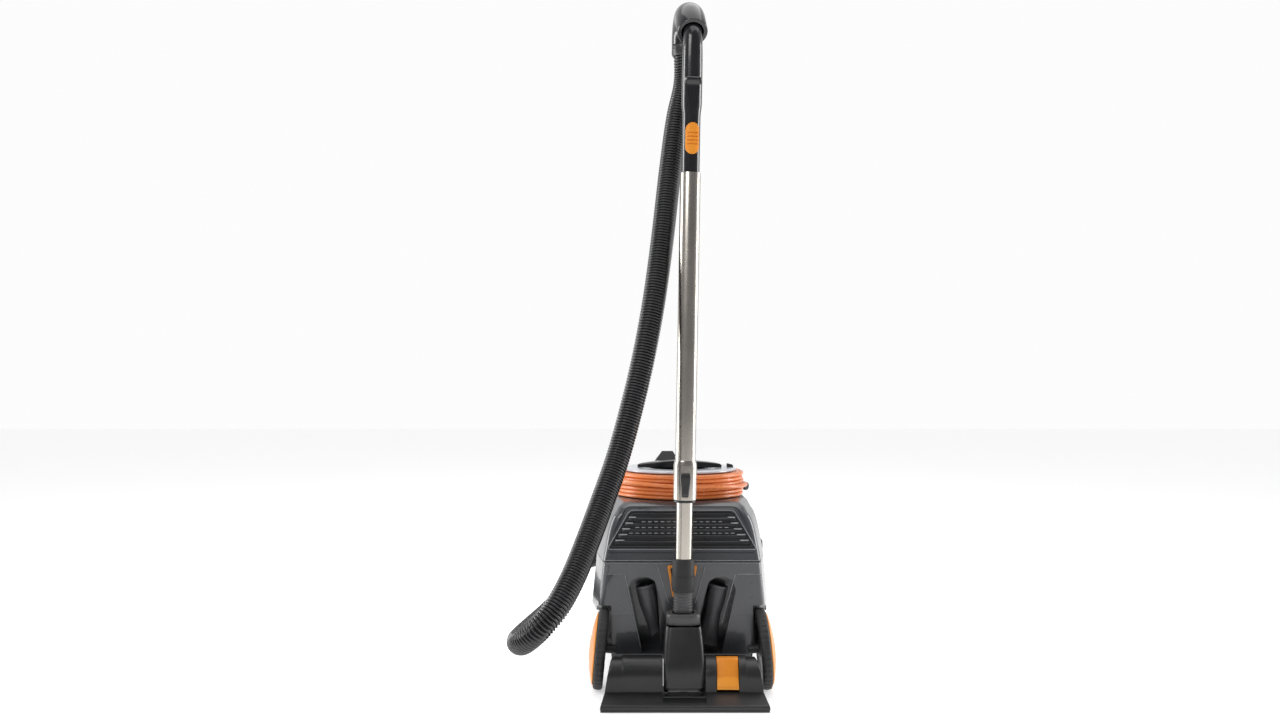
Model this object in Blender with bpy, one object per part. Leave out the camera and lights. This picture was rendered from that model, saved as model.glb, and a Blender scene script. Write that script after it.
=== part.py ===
"""Canister vacuum cleaner with its wand parked upright at the rear.

Metres, +Z up, -Y is the rear where the wand parks, +Y is the nose with the hose inlet.
The origin lies on the floor, under the middle of the machine with its floor tool.
"""

import math

import bmesh
import bpy
from mathutils import Matrix, Vector

# Clearances
GAP = 0.0004
RUN = 0.001

# Housing
WALL = 0.003
REAR = -0.142
NOSE = 0.278
HALF_WIDTH = 0.1525
TUB_BOTTOM = 0.050
TUB_TOP = 0.2205
SEAM = 0.0018
LID_BOTTOM = TUB_TOP + SEAM
LID_TOP = 0.3225
REAR_NARROWING = 0.0155
NOSE_NARROWING = 0.060
SHOULDER_BACK = 0.115
SHOULDER_FRONT = 0.130
SKIRT_FLARE = 0.0088

# Hinge at the nose
HINGE_Y = NOSE + 0.0075
HINGE_Z = TUB_TOP + 0.001
KNUCKLE = 0.018
KNUCKLE_RADIUS = 0.0045
KNUCKLE_BORE = 0.0024

# Cord drum, cap and handle on the lid
DRUM_Y = 0.020
DRUM_RADIUS = 0.095
DRUM_WALL = 0.004
DRUM_HEIGHT = 0.0445
COIL_RADIUS = DRUM_RADIUS + 0.025
CORD_RADIUS = 0.0036
GLAND_RADIUS = 0.0078
CAP_RADIUS = DRUM_RADIUS + 0.0105
CAP_HOLE = DRUM_RADIUS - 0.033
CAP_THICK = 0.0055
HANDLE_SPAN = 0.156

# Rear wheels
WHEEL_RADIUS = 0.070
SKIRT_BOTTOM = 2 * WHEEL_RADIUS - 0.012
TYRE_HALF = 0.0085
RIM_RADIUS = WHEEL_RADIUS - 0.018
WHEEL_X = HALF_WIDTH - 0.011
WHEEL_Y = -0.140
CAMBER = math.radians(5)
AXLE_RADIUS = 0.007
CAP_DOME_RADIUS = WHEEL_RADIUS - 0.0075
WELL_X = WHEEL_X - 0.018
WELL_OUT = WHEEL_X + 0.0085
WELL_RADIUS = WHEEL_RADIUS + 0.005

# Castors
CASTOR_X = HALF_WIDTH - 0.0625
CASTOR_Y = NOSE - 0.098
CASTOR_RADIUS = 0.020
CASTOR_TRAIL = 0.014
CASTOR_HALF = 0.009

# Floor tool
TOOL_FRONT = -0.290
TOOL_REAR = -0.172
TOOL_HALF = 0.139
TOOL_REAR_HALF = 0.127
HUMP_Y = -0.215
HUMP_Z = 0.044
HUMP_RADIUS = 0.032
HUMP_HALF = 0.104
HUMP_STEP = 0.95
END_LEAN = 0.15
NECK_SLOT = 0.0355
SOLE_TOP = 0.0038
BRUSH_LIFT = 0.004
BRUSH_Y = (-0.272, -0.186)
BRUSH_HALF = 0.098
PEDAL_X = (0.0545, 0.0905)

# Neck and wand
TUBE_Y = -0.190
WAND_LEAN = math.radians(1.03)
WAND_FOOT_X = -0.0034
HANDLE_YAW = math.radians(6)
CUFF = (0.1785, 0.2350)
SLEEVE = (0.1445, 0.1780)
INNER_RADIUS = 0.01425
CUFF_RADIUS = INNER_RADIUS + 0.00475
SLEEVE_RADIUS = 0.0165
SLEEVE_BORE = 0.0140
TUBE_WALL = 0.0012
INNER_TUBE = (0.182, 0.775)
OUTER_RADIUS = INNER_RADIUS + 0.00325
OUTER_TUBE = (0.340, 0.8915)
END_RING = (0.331, 0.3350)
COLLAR_RADIUS = OUTER_RADIUS + 0.0023
COLLAR = (0.3354, 0.4026)

# Handle
GRIP_BOTTOM = 0.8925
SPIGOT_BOTTOM = 0.862
PIPE_RADIUS = OUTER_RADIUS - 0.0020
PIPE_WALL = 0.0022
GRIP_RADIUS = PIPE_RADIUS + 0.0020
ELBOW_RADIUS = PIPE_RADIUS + 0.0105
SLIDER = (0.9215, 0.9750)
ELBOW_CENTRE = (0.0600, 1.1360)
ELBOW_ARC = 0.0360
ELBOW_RISE = 134
ELBOW_STRAIGHT = 0.0420
ELBOW_END = 0.0040
HANDLE_CUFF = 0.020

# Hose
HOSE_RADIUS = 0.020
INLET_X = 0.0415
INLET_Z = 0.150
INLET_RADIUS = 0.027
INLET_WALL = 0.0035
ELBOW_TURN = math.radians(60)
ELBOW_BEND = 0.075
ELBOW_START = NOSE - 0.030
MACHINE_CUFF = 0.045

# Accessory bays in the rear wall
BAY_DEPTH = 0.044
BAY_TOP = 0.194
BAY_BOTTOM = 0.060
NOZZLE_TOP = 0.1785
NOZZLE_X = 0.0645
NOZZLE_RADIUS = 0.0175
NOZZLE_WALL = 0.002
NOZZLE_LEAN = math.radians(12)
NOZZLE_Y = -0.1235


# --- mesh helpers -----------------------------------------------------------------------------

MATERIALS = {}


def clear_scene():
    for item in list(bpy.data.objects):
        bpy.data.objects.remove(item, do_unlink=True)


def material(name, colour, roughness, metallic=0.0):
    made = bpy.data.materials.new(name)
    made.use_nodes = True
    shader = made.node_tree.nodes["Principled BSDF"]
    shader.inputs["Base Color"].default_value = (*colour, 1)
    shader.inputs["Roughness"].default_value = roughness
    shader.inputs["Metallic"].default_value = metallic
    MATERIALS[name] = made


def make_materials():
    material("housing_grey", (0.080, 0.083, 0.095), 0.45)
    material("grille_dark", (0.022, 0.022, 0.024), 0.5)
    material("tool_black", (0.014, 0.014, 0.015), 0.42)
    material("accent_orange", (0.85, 0.34, 0.045), 0.4)
    material("cord_orange", (0.70, 0.17, 0.05), 0.45)
    material("steel", (0.55, 0.52, 0.48), 0.28, 1.0)
    material("hose_black", (0.012, 0.012, 0.013), 0.4)
    material("rubber_black", (0.013, 0.013, 0.013), 0.7)
    material("bristle", (0.02, 0.02, 0.02), 0.8)
    material("bag_paper", (0.6, 0.55, 0.45), 0.9)
    material("filter_white", (0.75, 0.75, 0.72), 0.9)
    material("motor_metal", (0.35, 0.35, 0.36), 0.4, 1.0)


def piece(name, points, faces, colour, parent=None, place=None, cutter=False):
    """A named object of one closed mesh, with its faces pointing out."""
    mesh = bpy.data.meshes.new(name)
    mesh.from_pydata([tuple(p) for p in points], [], faces)
    shape = bmesh.new()
    shape.from_mesh(mesh)
    bmesh.ops.recalc_face_normals(shape, faces=shape.faces)
    shape.to_mesh(mesh)
    shape.free()
    made = bpy.data.objects.new(name, mesh)
    bpy.context.scene.collection.objects.link(made)
    if place is not None:
        made.matrix_local = place
    if parent is not None:
        made.parent = parent
    if cutter:
        made.hide_render = True
        made.display_type = "WIRE"
        return made
    mesh.materials.append(MATERIALS[colour])
    mesh.shade_smooth()
    mesh.set_sharp_from_angle(angle=math.radians(35))
    return made


def strips(count, size, closed):
    """Quads between neighbouring rings of size points each."""
    pairs = [(i, i + 1) for i in range(count - 1)] + ([(count - 1, 0)] if closed else [])
    return [
        (a * size + j, a * size + (j + 1) % size, b * size + (j + 1) % size, b * size + j)
        for a, b in pairs
        for j in range(size)
    ]


def loft(name, rings, colour=None, **more):
    """A solid through rings of equal size, with a flat cap at each end."""
    size = len(rings[0])
    faces = strips(len(rings), size, False)
    faces += [tuple(range(size)), tuple(range((len(rings) - 1) * size, len(rings) * size))]
    return piece(name, [p for ring in rings for p in ring], faces, colour, **more)


def loop(name, rings, colour=None, **more):
    """A hollow ring-shaped solid: the last ring joins the first."""
    size = len(rings[0])
    points = [p for ring in rings for p in ring]
    return piece(name, points, strips(len(rings), size, True), colour, **more)


def circle(radius, height, sides=24):
    turns = [2 * math.pi * k / sides for k in range(sides)]
    return [Vector((radius * math.cos(t), radius * math.sin(t), height)) for t in turns]


def turned(name, profile, colour=None, sides=24, **more):
    """A solid of revolution about its own Z from (radius, height) pairs, capped flat."""
    return loft(name, [circle(r, h, sides) for r, h in profile], colour, **more)


def turned_ring(name, profile, colour=None, sides=24, **more):
    """A hollow solid of revolution from a closed outline of (radius, height) pairs."""
    return loop(name, [circle(r, h, sides) for r, h in profile], colour, **more)


def box(name, low, high, colour=None, **more):
    plan_corners = ((low[0], low[1]), (high[0], low[1]), (high[0], high[1]), (low[0], high[1]))
    corners = [[Vector((x, y, z)) for x, y in plan_corners] for z in (low[2], high[2])]
    return loft(name, corners, colour, **more)


def prism_x(name, outline, low, high, colour=None, **more):
    """An outline of (y, z) pairs pushed along X."""
    rings = [[Vector((x, y, z)) for y, z in outline] for x in (low, high)]
    return loft(name, rings, colour, **more)


def prism_y(name, outline, low, high, colour=None, **more):
    """An outline of (x, z) pairs pushed along Y."""
    rings = [[Vector((x, y, z)) for x, z in outline] for y in (low, high)]
    return loft(name, rings, colour, **more)


def smooth_line(route, step):
    """Points every step along a smooth curve through the route."""
    ends = [2 * route[0] - route[1], *route, 2 * route[-1] - route[-2]]
    dense = []
    for a, b, c, d in zip(ends, ends[1:], ends[2:], ends[3:]):
        for k in range(24):
            t = k / 24
            bend, twist = 2 * a - 5 * b + 4 * c - d, 3 * b - a - 3 * c + d
            dense.append(0.5 * (2 * b + (c - a) * t + bend * t**2 + twist * t**3))
    dense.append(route[-1])
    total = sum((q - p).length for p, q in zip(dense, dense[1:]))
    count = max(2, round(total / step))
    points, walked, target = [dense[0]], 0.0, total / count
    for p, q in zip(dense, dense[1:]):
        span = (q - p).length
        while walked + span >= target - 1e-9 and len(points) < count:
            points.append(p.lerp(q, (target - walked) / span))
            target += total / count
        walked += span
    points.append(dense[-1])
    return points


def sweep_rings(path, radii, sides):
    """Circles square to a path that lies in a plane of constant X."""
    rings = []
    for i, centre in enumerate(path):
        ahead = (path[min(i + 1, len(path) - 1)] - path[max(i - 1, 0)]).normalized()
        side = Vector((1, 0, 0))
        up = ahead.cross(side).normalized()
        turns = [2 * math.pi * k / sides for k in range(sides)]
        rings.append([centre + radii[i] * (side * math.cos(t) + up * math.sin(t)) for t in turns])
    return rings


def boolean(target, other, operation="DIFFERENCE"):
    made = target.modifiers.new(other.name, "BOOLEAN")
    made.operation = operation
    made.object = other


def tube_object(name, route, radius, colour, step, resolution=3):
    """A plain round cord or hose along a smooth line through its route, square to the route at its ends."""
    route = [Vector(p) for p in route]
    inner = smooth_line(route, step)[1:-1]
    short = radius / 5
    first = route[0] + (route[1] - route[0]).normalized() * short
    last = route[-1] + (route[-2] - route[-1]).normalized() * short
    points = [route[0], first, *inner, last, route[-1]]
    curve = bpy.data.curves.new(name, "CURVE")
    curve.dimensions = "3D"
    curve.bevel_depth = radius
    curve.bevel_resolution = resolution
    curve.use_fill_caps = True
    spline = curve.splines.new("POLY")
    spline.points.add(len(points) - 1)
    for target, p in zip(spline.points, points):
        target.co = (*p, 1)
    curve.materials.append(MATERIALS[colour])
    made = bpy.data.objects.new(name, curve)
    bpy.context.scene.collection.objects.link(made)
    return made


def guide(name, place):
    """An empty that carries pieces on one axis."""
    made = bpy.data.objects.new(name, None)
    bpy.context.scene.collection.objects.link(made)
    made.matrix_local = place
    return made


# --- housing ----------------------------------------------------------------------------------


def rounded(corners, steps=2):
    """A closed outline with an arc at each (x, y, radius) corner."""
    outline = []
    for i, (x, y, radius) in enumerate(corners):
        here = Vector((x, y))
        before = (Vector(corners[i - 1][:2]) - here).normalized()
        after = (Vector(corners[(i + 1) % len(corners)][:2]) - here).normalized()
        opening = before.angle(after)
        centre = here + (before + after).normalized() * radius / math.sin(opening / 2)
        start = here + before * radius / math.tan(opening / 2) - centre
        end = here + after * radius / math.tan(opening / 2) - centre
        sweep = math.pi - opening
        for k in range(steps + 1):
            t = k / steps
            arc = (start * math.sin((1 - t) * sweep) + end * math.sin(t * sweep)) / math.sin(sweep)
            outline.append(centre + arc)
    return outline


def plan(z, half, rear, nose, inset=0.0):
    """The housing's outline at one height: narrower at the rear and at the nose."""
    half, rear, nose = half - inset, rear + inset, nose - inset
    right = [
        (half - REAR_NARROWING, rear, 0.014),
        (half, rear + SHOULDER_BACK, 0.060),
        (half - 0.003, nose - SHOULDER_FRONT, 0.070),
        (half - NOSE_NARROWING, nose, 0.035),
    ]
    left = [(-x, y, r) for x, y, r in reversed(right)]
    return [Vector((p.x, p.y, z)) for p in rounded(right + left)]


TUB = (
    (TUB_BOTTOM, HALF_WIDTH - 0.014, REAR + 0.012, NOSE - 0.012),
    (TUB_BOTTOM + 0.010, HALF_WIDTH - 0.006, REAR + 0.005, NOSE - 0.004),
    (0.110, HALF_WIDTH - 0.002, REAR + 0.002, NOSE - 0.001),
    (SKIRT_BOTTOM - 0.0008, HALF_WIDTH - 0.002, REAR + 0.002, NOSE - 0.001),
    (SKIRT_BOTTOM, HALF_WIDTH + SKIRT_FLARE - 0.001, REAR + 0.0018, NOSE - 0.001),
    (SKIRT_BOTTOM + 0.002, HALF_WIDTH + SKIRT_FLARE, REAR + 0.0018, NOSE - 0.001),
    (TUB_TOP, HALF_WIDTH, REAR, NOSE),
)
TUB_INSIDE = (
    (TUB_BOTTOM + WALL, *TUB[0][1:]),
    *TUB[1:3],
    (SKIRT_BOTTOM + 0.006, *TUB[2][1:]),
    (TUB_TOP, *TUB[-1][1:]),
    (TUB_TOP + 0.02, *TUB[-1][1:]),
)
LID = (
    (LID_BOTTOM, HALF_WIDTH, REAR, NOSE),
    (0.250, HALF_WIDTH - 0.005, REAR + 0.0035, NOSE - 0.004),
    (0.276, HALF_WIDTH - 0.010, REAR + 0.008, NOSE - 0.013),
    (0.295, HALF_WIDTH - 0.016, REAR + 0.012, NOSE - 0.024),
    (0.304, HALF_WIDTH - 0.022, REAR + 0.015, NOSE - 0.034),
    (0.314, HALF_WIDTH - 0.027, REAR + 0.022, NOSE - 0.046),
    (LID_TOP - 0.002, HALF_WIDTH - 0.0345, REAR + 0.032, NOSE - 0.058),
    (LID_TOP, HALF_WIDTH - 0.041, REAR + 0.040, NOSE - 0.066),
)


def bay_outline(side, grow=0.0):
    """The slanted bay that holds one nozzle, from behind."""
    corners = (
        (0.094 + grow, 0.172),
        (0.086 + grow, BAY_TOP - 0.006 + grow),
        (0.078, BAY_TOP + grow),
        (0.058, BAY_TOP + grow),
        (0.048 - grow, BAY_TOP - 0.006 + grow),
        (0.044 - grow, 0.178),
        (0.012 - grow, BAY_BOTTOM - grow),
        (0.069 + grow, BAY_BOTTOM - grow),
    )
    return [(side * x, z) for x, z in corners]


def wheel_well(name, side, radius, inner_x, outer_x, top=1.0):
    """A round room for a wheel between two distances from the middle, cut off flat at a height."""
    turns = [2 * math.pi * k / 32 for k in range(32)]
    middle = wheel_height()
    outline = [(WHEEL_Y + radius * math.cos(t), min(middle + radius * math.sin(t), top)) for t in turns]
    low, high = sorted((side * inner_x, side * outer_x))
    return prism_x(name, outline, low, high, cutter=True)


def make_lower_housing():
    tub = loft("lower_housing", [plan(*level) for level in TUB], "housing_grey")
    cavity = loft("tub_cavity", [plan(*level, inset=WALL) for level in TUB_INSIDE], cutter=True)
    for side, word in ((-1, "left"), (1, "right")):
        liner = prism_y(
            f"bay_liner_{word}", bay_outline(side, WALL), REAR - 0.02, REAR + BAY_DEPTH + WALL, cutter=True
        )
        boolean(cavity, liner)
        liner_sizes = (WELL_RADIUS + WALL, WELL_X - WALL, HALF_WIDTH + 0.03)
        boolean(cavity, wheel_well(f"well_liner_{word}", side, *liner_sizes))
    boolean(tub, cavity)
    for side, word in ((-1, "left"), (1, "right")):
        boolean(tub, prism_y(f"bay_{word}", bay_outline(side), REAR - 0.03, REAR + BAY_DEPTH, cutter=True))
        boolean(tub, wheel_well(f"well_{word}", side, WELL_RADIUS, WELL_X, WELL_OUT))
        top = SKIRT_BOTTOM + 0.0002
        boolean(tub, wheel_well(f"well_window_{word}", side, WELL_RADIUS, WELL_X, HALF_WIDTH + 0.03, top))
        place = Matrix.Translation((side * CASTOR_X, CASTOR_Y, TUB_BOTTOM - 0.01))
        boolean(tub, turned(f"castor_hole_{word}", [(0.0045, 0), (0.0045, 0.03)], place=place, cutter=True))
        boolean(tub, axle_rod(f"axle_hole_{word}", side, AXLE_RADIUS + GAP, -0.030, 0.010, cutter=True))
    slot = box("park_slot", (-0.0115, REAR - 0.01, 0.168), (0.0115, REAR + 0.020, 0.208), cutter=True)
    boolean(tub, slot)
    hole = [(INLET_RADIUS + GAP, -0.03), (INLET_RADIUS + GAP, 0.03)]
    boolean(tub, inlet_turned("inlet_hole", hole, cutter=True))
    for word, x in (("left", -0.045), ("right", 0.027)):
        add_knuckle(tub, f"hinge_{word}", x, TUB_TOP - 0.0065, TUB_TOP - 0.0005)


def make_park_slot_frame():
    outer = [(-0.026, 0.2155), (0.026, 0.2155), (0.017, 0.160), (-0.017, 0.160)]
    inner = [(-0.0205, 0.211), (0.0205, 0.211), (0.0125, 0.1645), (-0.0125, 0.1645)]
    rings = []
    near, far = REAR - GAP, REAR - 0.003
    for outline, y in ((outer, near), (outer, far), (inner, far), (inner, near)):
        rings.append([Vector((x, y, z)) for x, z in outline])
    loop("park_slot_frame", rings, "accent_orange")


def make_bag_and_filter():
    low, high = TUB_BOTTOM + WALL + RUN, 0.188
    levels = (
        (low, 0.082, -0.070, 0.205),
        (low + 0.02, 0.094, -0.080, 0.215),
        (high - 0.02, 0.094, -0.080, 0.215),
        (high, 0.080, -0.068, 0.200),
    )
    rings = [[Vector((x, y, z)) for x, y in oval(half, rear, nose)] for z, half, rear, nose in levels]
    loft("dust_bag", rings, "bag_paper")
    low, high = (INLET_X - 0.034, 0.2165, INLET_Z - 0.036), (INLET_X + 0.034, 0.2195, INLET_Z + 0.036)
    box("bag_collar", low, high, "bag_paper")
    box("premotor_filter", (-0.085, -0.075, 0.1985), (0.085, 0.175, 0.2145), "filter_white")


def oval(half, rear, nose):
    """A rounded rectangle in plan."""
    corners = [(half, rear, 0.03), (half, nose, 0.03), (-half, nose, 0.03), (-half, rear, 0.03)]
    return [(p.x, p.y) for p in rounded(corners)]


# --- hose inlet -------------------------------------------------------------------------------


def inlet_turned(name, profile, colour=None, **more):
    """A turned piece on the inlet's axis, with height counted out from the nose."""
    place = Matrix.Translation((INLET_X, NOSE, INLET_Z)) @ Matrix.Rotation(-math.pi / 2, 4, "X")
    return turned(name, profile, colour, place=place, sides=24, **more)


def make_hose_inlet():
    place = Matrix.Translation((INLET_X, NOSE, INLET_Z)) @ Matrix.Rotation(-math.pi / 2, 4, "X")
    flange = INLET_RADIUS + 0.005
    profile = (
        (INLET_RADIUS, -0.055),
        (INLET_RADIUS, GAP),
        (flange, GAP),
        (flange, 0.008),
        (INLET_RADIUS - INLET_WALL, 0.008),
        (INLET_RADIUS - INLET_WALL, -0.055),
    )
    turned_ring("hose_inlet", profile, "tool_black", place=place)


def elbow_path():
    """The middle line of the elbow, from inside the inlet to the cuff."""
    start = Vector((INLET_X, ELBOW_START, INLET_Z))
    bend = Vector((INLET_X, NOSE + 0.0125, INLET_Z))
    points = [start, bend]
    centre = bend - Vector((ELBOW_BEND, 0, 0))
    for k in range(1, 7):
        t = ELBOW_TURN * k / 6
        points.append(centre + ELBOW_BEND * Vector((math.cos(t), math.sin(t), 0)))
    return points


def flat_sweep(path, radius, sides):
    """Circles square to a path that lies in a level plane."""
    rings = []
    for i, centre in enumerate(path):
        ahead = (path[min(i + 1, len(path) - 1)] - path[max(i - 1, 0)]).normalized()
        if i == 0:
            ahead = Vector((0, 1, 0))
        if i == len(path) - 1:
            ahead = elbow_direction()
        side = ahead.cross(Vector((0, 0, 1))).normalized()
        up = Vector((0, 0, 1))
        turns = [2 * math.pi * k / sides for k in range(sides)]
        rings.append([centre + radius * (side * math.cos(t) + up * math.sin(t)) for t in turns])
    return rings


def elbow_direction():
    return Vector((-math.sin(ELBOW_TURN), math.cos(ELBOW_TURN), 0))


def make_hose_elbow():
    path = elbow_path()
    outer = INLET_RADIUS - INLET_WALL - RUN
    rings = flat_sweep(path, outer, 20) + list(reversed(flat_sweep(path, outer - 0.0025, 20)))
    loop("hose_elbow", rings, "tool_black")
    end = path[-1] + elbow_direction() * GAP
    along = elbow_direction().to_track_quat("Z", "Y").to_matrix().to_4x4()
    profile = (
        (0.0235, 0.0),
        (0.0245, 0.004),
        (0.0245, 0.030),
        (0.0225, MACHINE_CUFF),
        (0.0150, MACHINE_CUFF),
        (0.0190, 0.0),
    )
    turned_ring("hose_cuff_machine", profile, "tool_black", place=Matrix.Translation(end) @ along)


def hose_route():
    """From the machine's cuff round the left side, up to the handle's cuff."""
    start = elbow_path()[-1] + elbow_direction() * (MACHINE_CUFF + 2 * GAP)
    end = handle_cuff_end()
    near = [
        start,
        start + elbow_direction() * 0.022,
        Vector((-0.096, NOSE + 0.124, 0.150)),
        Vector((-0.139, NOSE + 0.119, 0.149)),
        Vector((-0.176, NOSE + 0.095, 0.147)),
        Vector((-0.199, NOSE + 0.059, 0.145)),
        Vector((-0.206, NOSE + 0.019, 0.142)),
        Vector((-0.208, 0.240, 0.139)),
        Vector((-0.209, 0.180, 0.135)),
        Vector((-0.213, 0.090, 0.130)),
        Vector((-0.222, 0.000, 0.126)),
        Vector((-0.236, -0.100, 0.124)),
        Vector((-0.251, -0.200, 0.1235)),
        Vector((-0.261, -0.290, 0.126)),
        Vector((-0.263, -0.355, 0.131)),
        Vector((-0.251, -0.403, 0.142)),
        Vector((-0.227, -0.427, 0.166)),
        Vector((-0.200, -0.420, 0.197)),
        Vector((-0.176, -0.388, 0.239)),
        Vector((-0.155, -0.345, 0.289)),
        Vector((-0.133, -0.300, 0.347)),
        Vector((-0.110, -0.263, 0.412)),
        Vector((-0.087, -0.234, 0.495)),
        Vector((-0.067, -0.212, 0.580)),
        Vector((-0.0495, -0.189, 0.675)),
        Vector((-0.0350, -0.162, 0.780)),
        Vector((-0.0205, -0.131, 0.905)),
        Vector((-0.0080, -0.109, 0.997)),
    ]
    down = handle_cuff_down()
    return [*near, end + down * 0.050, end]


# --- lid --------------------------------------------------------------------------------------


def grille_outline(grow=0.0):
    low, high = 0.2465, 0.3035
    return [
        (-0.118 - grow, low - grow),
        (0.118 + grow, low - grow),
        (0.088 + grow, high + grow),
        (-0.088 - grow, high + grow),
    ]


def rear_slope(z):
    """The Y of the lid's rear face at a height."""
    for (z0, _, y0, _), (z1, _, y1, _) in zip(LID, LID[1:]):
        if z0 <= z <= z1:
            return y0 + (y1 - y0) * (z - z0) / (z1 - z0)
    return REAR


def sloped_prism(name, outline, front, back, colour=None, **more):
    """An (x, z) outline given depth along Y that follows the slope of the lid's rear face."""
    rings = [[Vector((x, rear_slope(z) + depth, z)) for x, z in outline] for depth in (front, back)]
    return loft(name, rings, colour, **more)


def make_lid():
    lid = loft("lid", [plan(*level) for level in LID], "housing_grey")
    levels = [(LID_BOTTOM - 0.01, *LID[0][1:]), *LID[:-2], (LID_TOP - WALL, *LID[-2][1:])]
    cavity = loft("lid_cavity", [plan(*level, inset=WALL) for level in levels], cutter=True)
    boolean(lid, cavity)
    boolean(lid, sloped_prism("grille_opening", grille_outline(), -0.02, 0.02, cutter=True))
    add_knuckle(lid, "hinge_middle", -0.009, LID_BOTTOM + 0.0008, LID_BOTTOM + 0.0035)


def make_exhaust_grille():
    inner = grille_outline(-RUN)
    grille = sloped_prism("exhaust_grille", inner, 0.0008, 0.0060, "grille_dark")
    low, high = inner[0][1], inner[2][1]
    rows = 5
    pitch = (high - low - 0.008) / rows
    for row in range(rows):
        z = low + 0.004 + pitch * (row + 0.5)
        reach = 0.112 - (z - low) * 0.5
        for side, word in ((-1, "left"), (1, "right")):
            xs = sorted((side * 0.004, side * (reach - 0.004)))
            low_corner, high_corner = (xs[0], REAR - 0.02, z - 0.003), (xs[1], REAR + 0.05, z + 0.003)
            boolean(grille, box(f"louvre_{row}_{word}", low_corner, high_corner, cutter=True))


def make_lid_insides():
    levels = ((LID_BOTTOM + RUN, *LID[0][1:]), (LID_BOTTOM + 0.005, *LID[0][1:]))
    deck = loft("motor_deck", [plan(*level, inset=WALL + RUN) for level in levels], "grille_dark")
    hole_place = Matrix.Translation((0, 0.040, LID_BOTTOM))
    boolean(deck, turned("deck_hole", [(0.030, -0.02), (0.030, 0.02)], place=hole_place, cutter=True))
    base = LID_BOTTOM + 0.005 + GAP
    motor = ((0.056, 0), (0.056, 0.026), (0.040, 0.030), (0.040, 0.072), (0.014, 0.078))
    turned("motor_fan", motor, "motor_metal", place=Matrix.Translation((0, 0.040, base)))
    box("exhaust_filter", (-0.078, -0.112, 0.2500), (0.078, -0.096, 0.3000), "filter_white")
    box("switch_box", (-0.050, 0.105, 0.2900), (-0.008, 0.135, LID_TOP - WALL - RUN), "tool_black")


def drum_place(z):
    return Matrix.Translation((0, DRUM_Y, z))


def make_drum_and_cap():
    base = LID_TOP + GAP
    inner = DRUM_RADIUS - DRUM_WALL
    outline = (
        (0.012, 0.004),
        (inner, 0.004),
        (inner, DRUM_HEIGHT),
        (DRUM_RADIUS, DRUM_HEIGHT),
        (DRUM_RADIUS, 0.0),
        (0.012, 0.0),
    )
    turned_ring("cord_drum", outline, "housing_grey", sides=36, place=drum_place(base))
    top = base + DRUM_HEIGHT + GAP
    cap = (
        (CAP_HOLE, 0.0),
        (CAP_RADIUS - 0.002, 0.0),
        (CAP_RADIUS, 0.002),
        (CAP_RADIUS - 0.001, 0.0045),
        (CAP_RADIUS - 0.006, CAP_THICK),
        (CAP_HOLE, CAP_THICK),
    )
    turned_ring("top_cap", cap, "housing_grey", sides=36, place=drum_place(top))
    return top + CAP_THICK


def make_carry_handle(base):
    """A lens-shaped bar across the hole of the cap."""
    half = HANDLE_SPAN / 2
    stations = (-1.0, -0.75, -0.5, -0.25, 0.0, 0.25, 0.5, 0.75, 1.0)
    rings = []
    for s in stations:
        deep = 0.007 + 0.012 * (1 - s * s)
        top = base + GAP + 0.0045 + 0.0095 * (1 - abs(s)) ** 0.5
        low = base + GAP
        y = DRUM_Y - 0.012
        outline = ((y - deep, low), (y + deep, low), (y + deep * 0.8, top), (y - deep * 0.8, top))
        rings.append([Vector((s * half, a, b)) for a, b in outline])
    loft("carry_handle", rings, "tool_black")


def make_foot_switch(base):
    low = base + GAP + 0.0005
    outline = (
        (0.0600, low),
        (0.0970, low + 0.0035),
        (0.0980, low + 0.0080),
        (0.0880, low + 0.0235),
        (0.0780, low + 0.0245),
        (0.0600, low + 0.0060),
    )
    prism_x("foot_switch", outline, -0.048, 0.004, "tool_black")


def make_power_cord():
    base = LID_TOP + GAP
    low, high = base + GAP, base + DRUM_HEIGHT - GAP
    inner = DRUM_RADIUS + GAP
    coil = (
        (inner, low),
        (COIL_RADIUS - 0.002, low),
        (COIL_RADIUS, low + 0.004),
        (COIL_RADIUS, high - 0.004),
        (COIL_RADIUS - 0.002, high),
        (inner, high),
    )
    turned_ring("power_cord_coil", coil, "cord_orange", sides=36, place=drum_place(0.0))
    z = LID_TOP + GLAND_RADIUS + 2 * GAP

    def at(degrees, radius, height=z):
        t = math.radians(degrees)
        return Vector((radius * math.cos(t), DRUM_Y + radius * math.sin(t), height))

    near = COIL_RADIUS + CORD_RADIUS + 0.0006
    lead = [at(34 + 5 * k, near + 0.010 * (1 - k / 6) ** 2) for k in range(7)]
    tube_object("power_cord_lead", lead, CORD_RADIUS, "cord_orange", 0.009, 2)
    put_on_end("cord_gland", lead[0], lead[0] - lead[1], gland_profile(), "rubber_black")
    low_z = low + CORD_RADIUS + 0.0005
    base = at(96, COIL_RADIUS + 0.0125, low_z)
    make_plug(base, at(112, COIL_RADIUS + 0.0125, low_z) - base)


def gland_profile():
    tip = CORD_RADIUS + 0.0012
    return ((tip, GAP), (GLAND_RADIUS - 0.0003, 0.018), (GLAND_RADIUS, 0.024), (GLAND_RADIUS, 0.026))


def put_on_end(name, end, out, profile, colour):
    along = out.to_track_quat("Z", "Y").to_matrix().to_4x4()
    turned(name, profile, colour, sides=16, place=Matrix.Translation(end) @ along)


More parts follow.
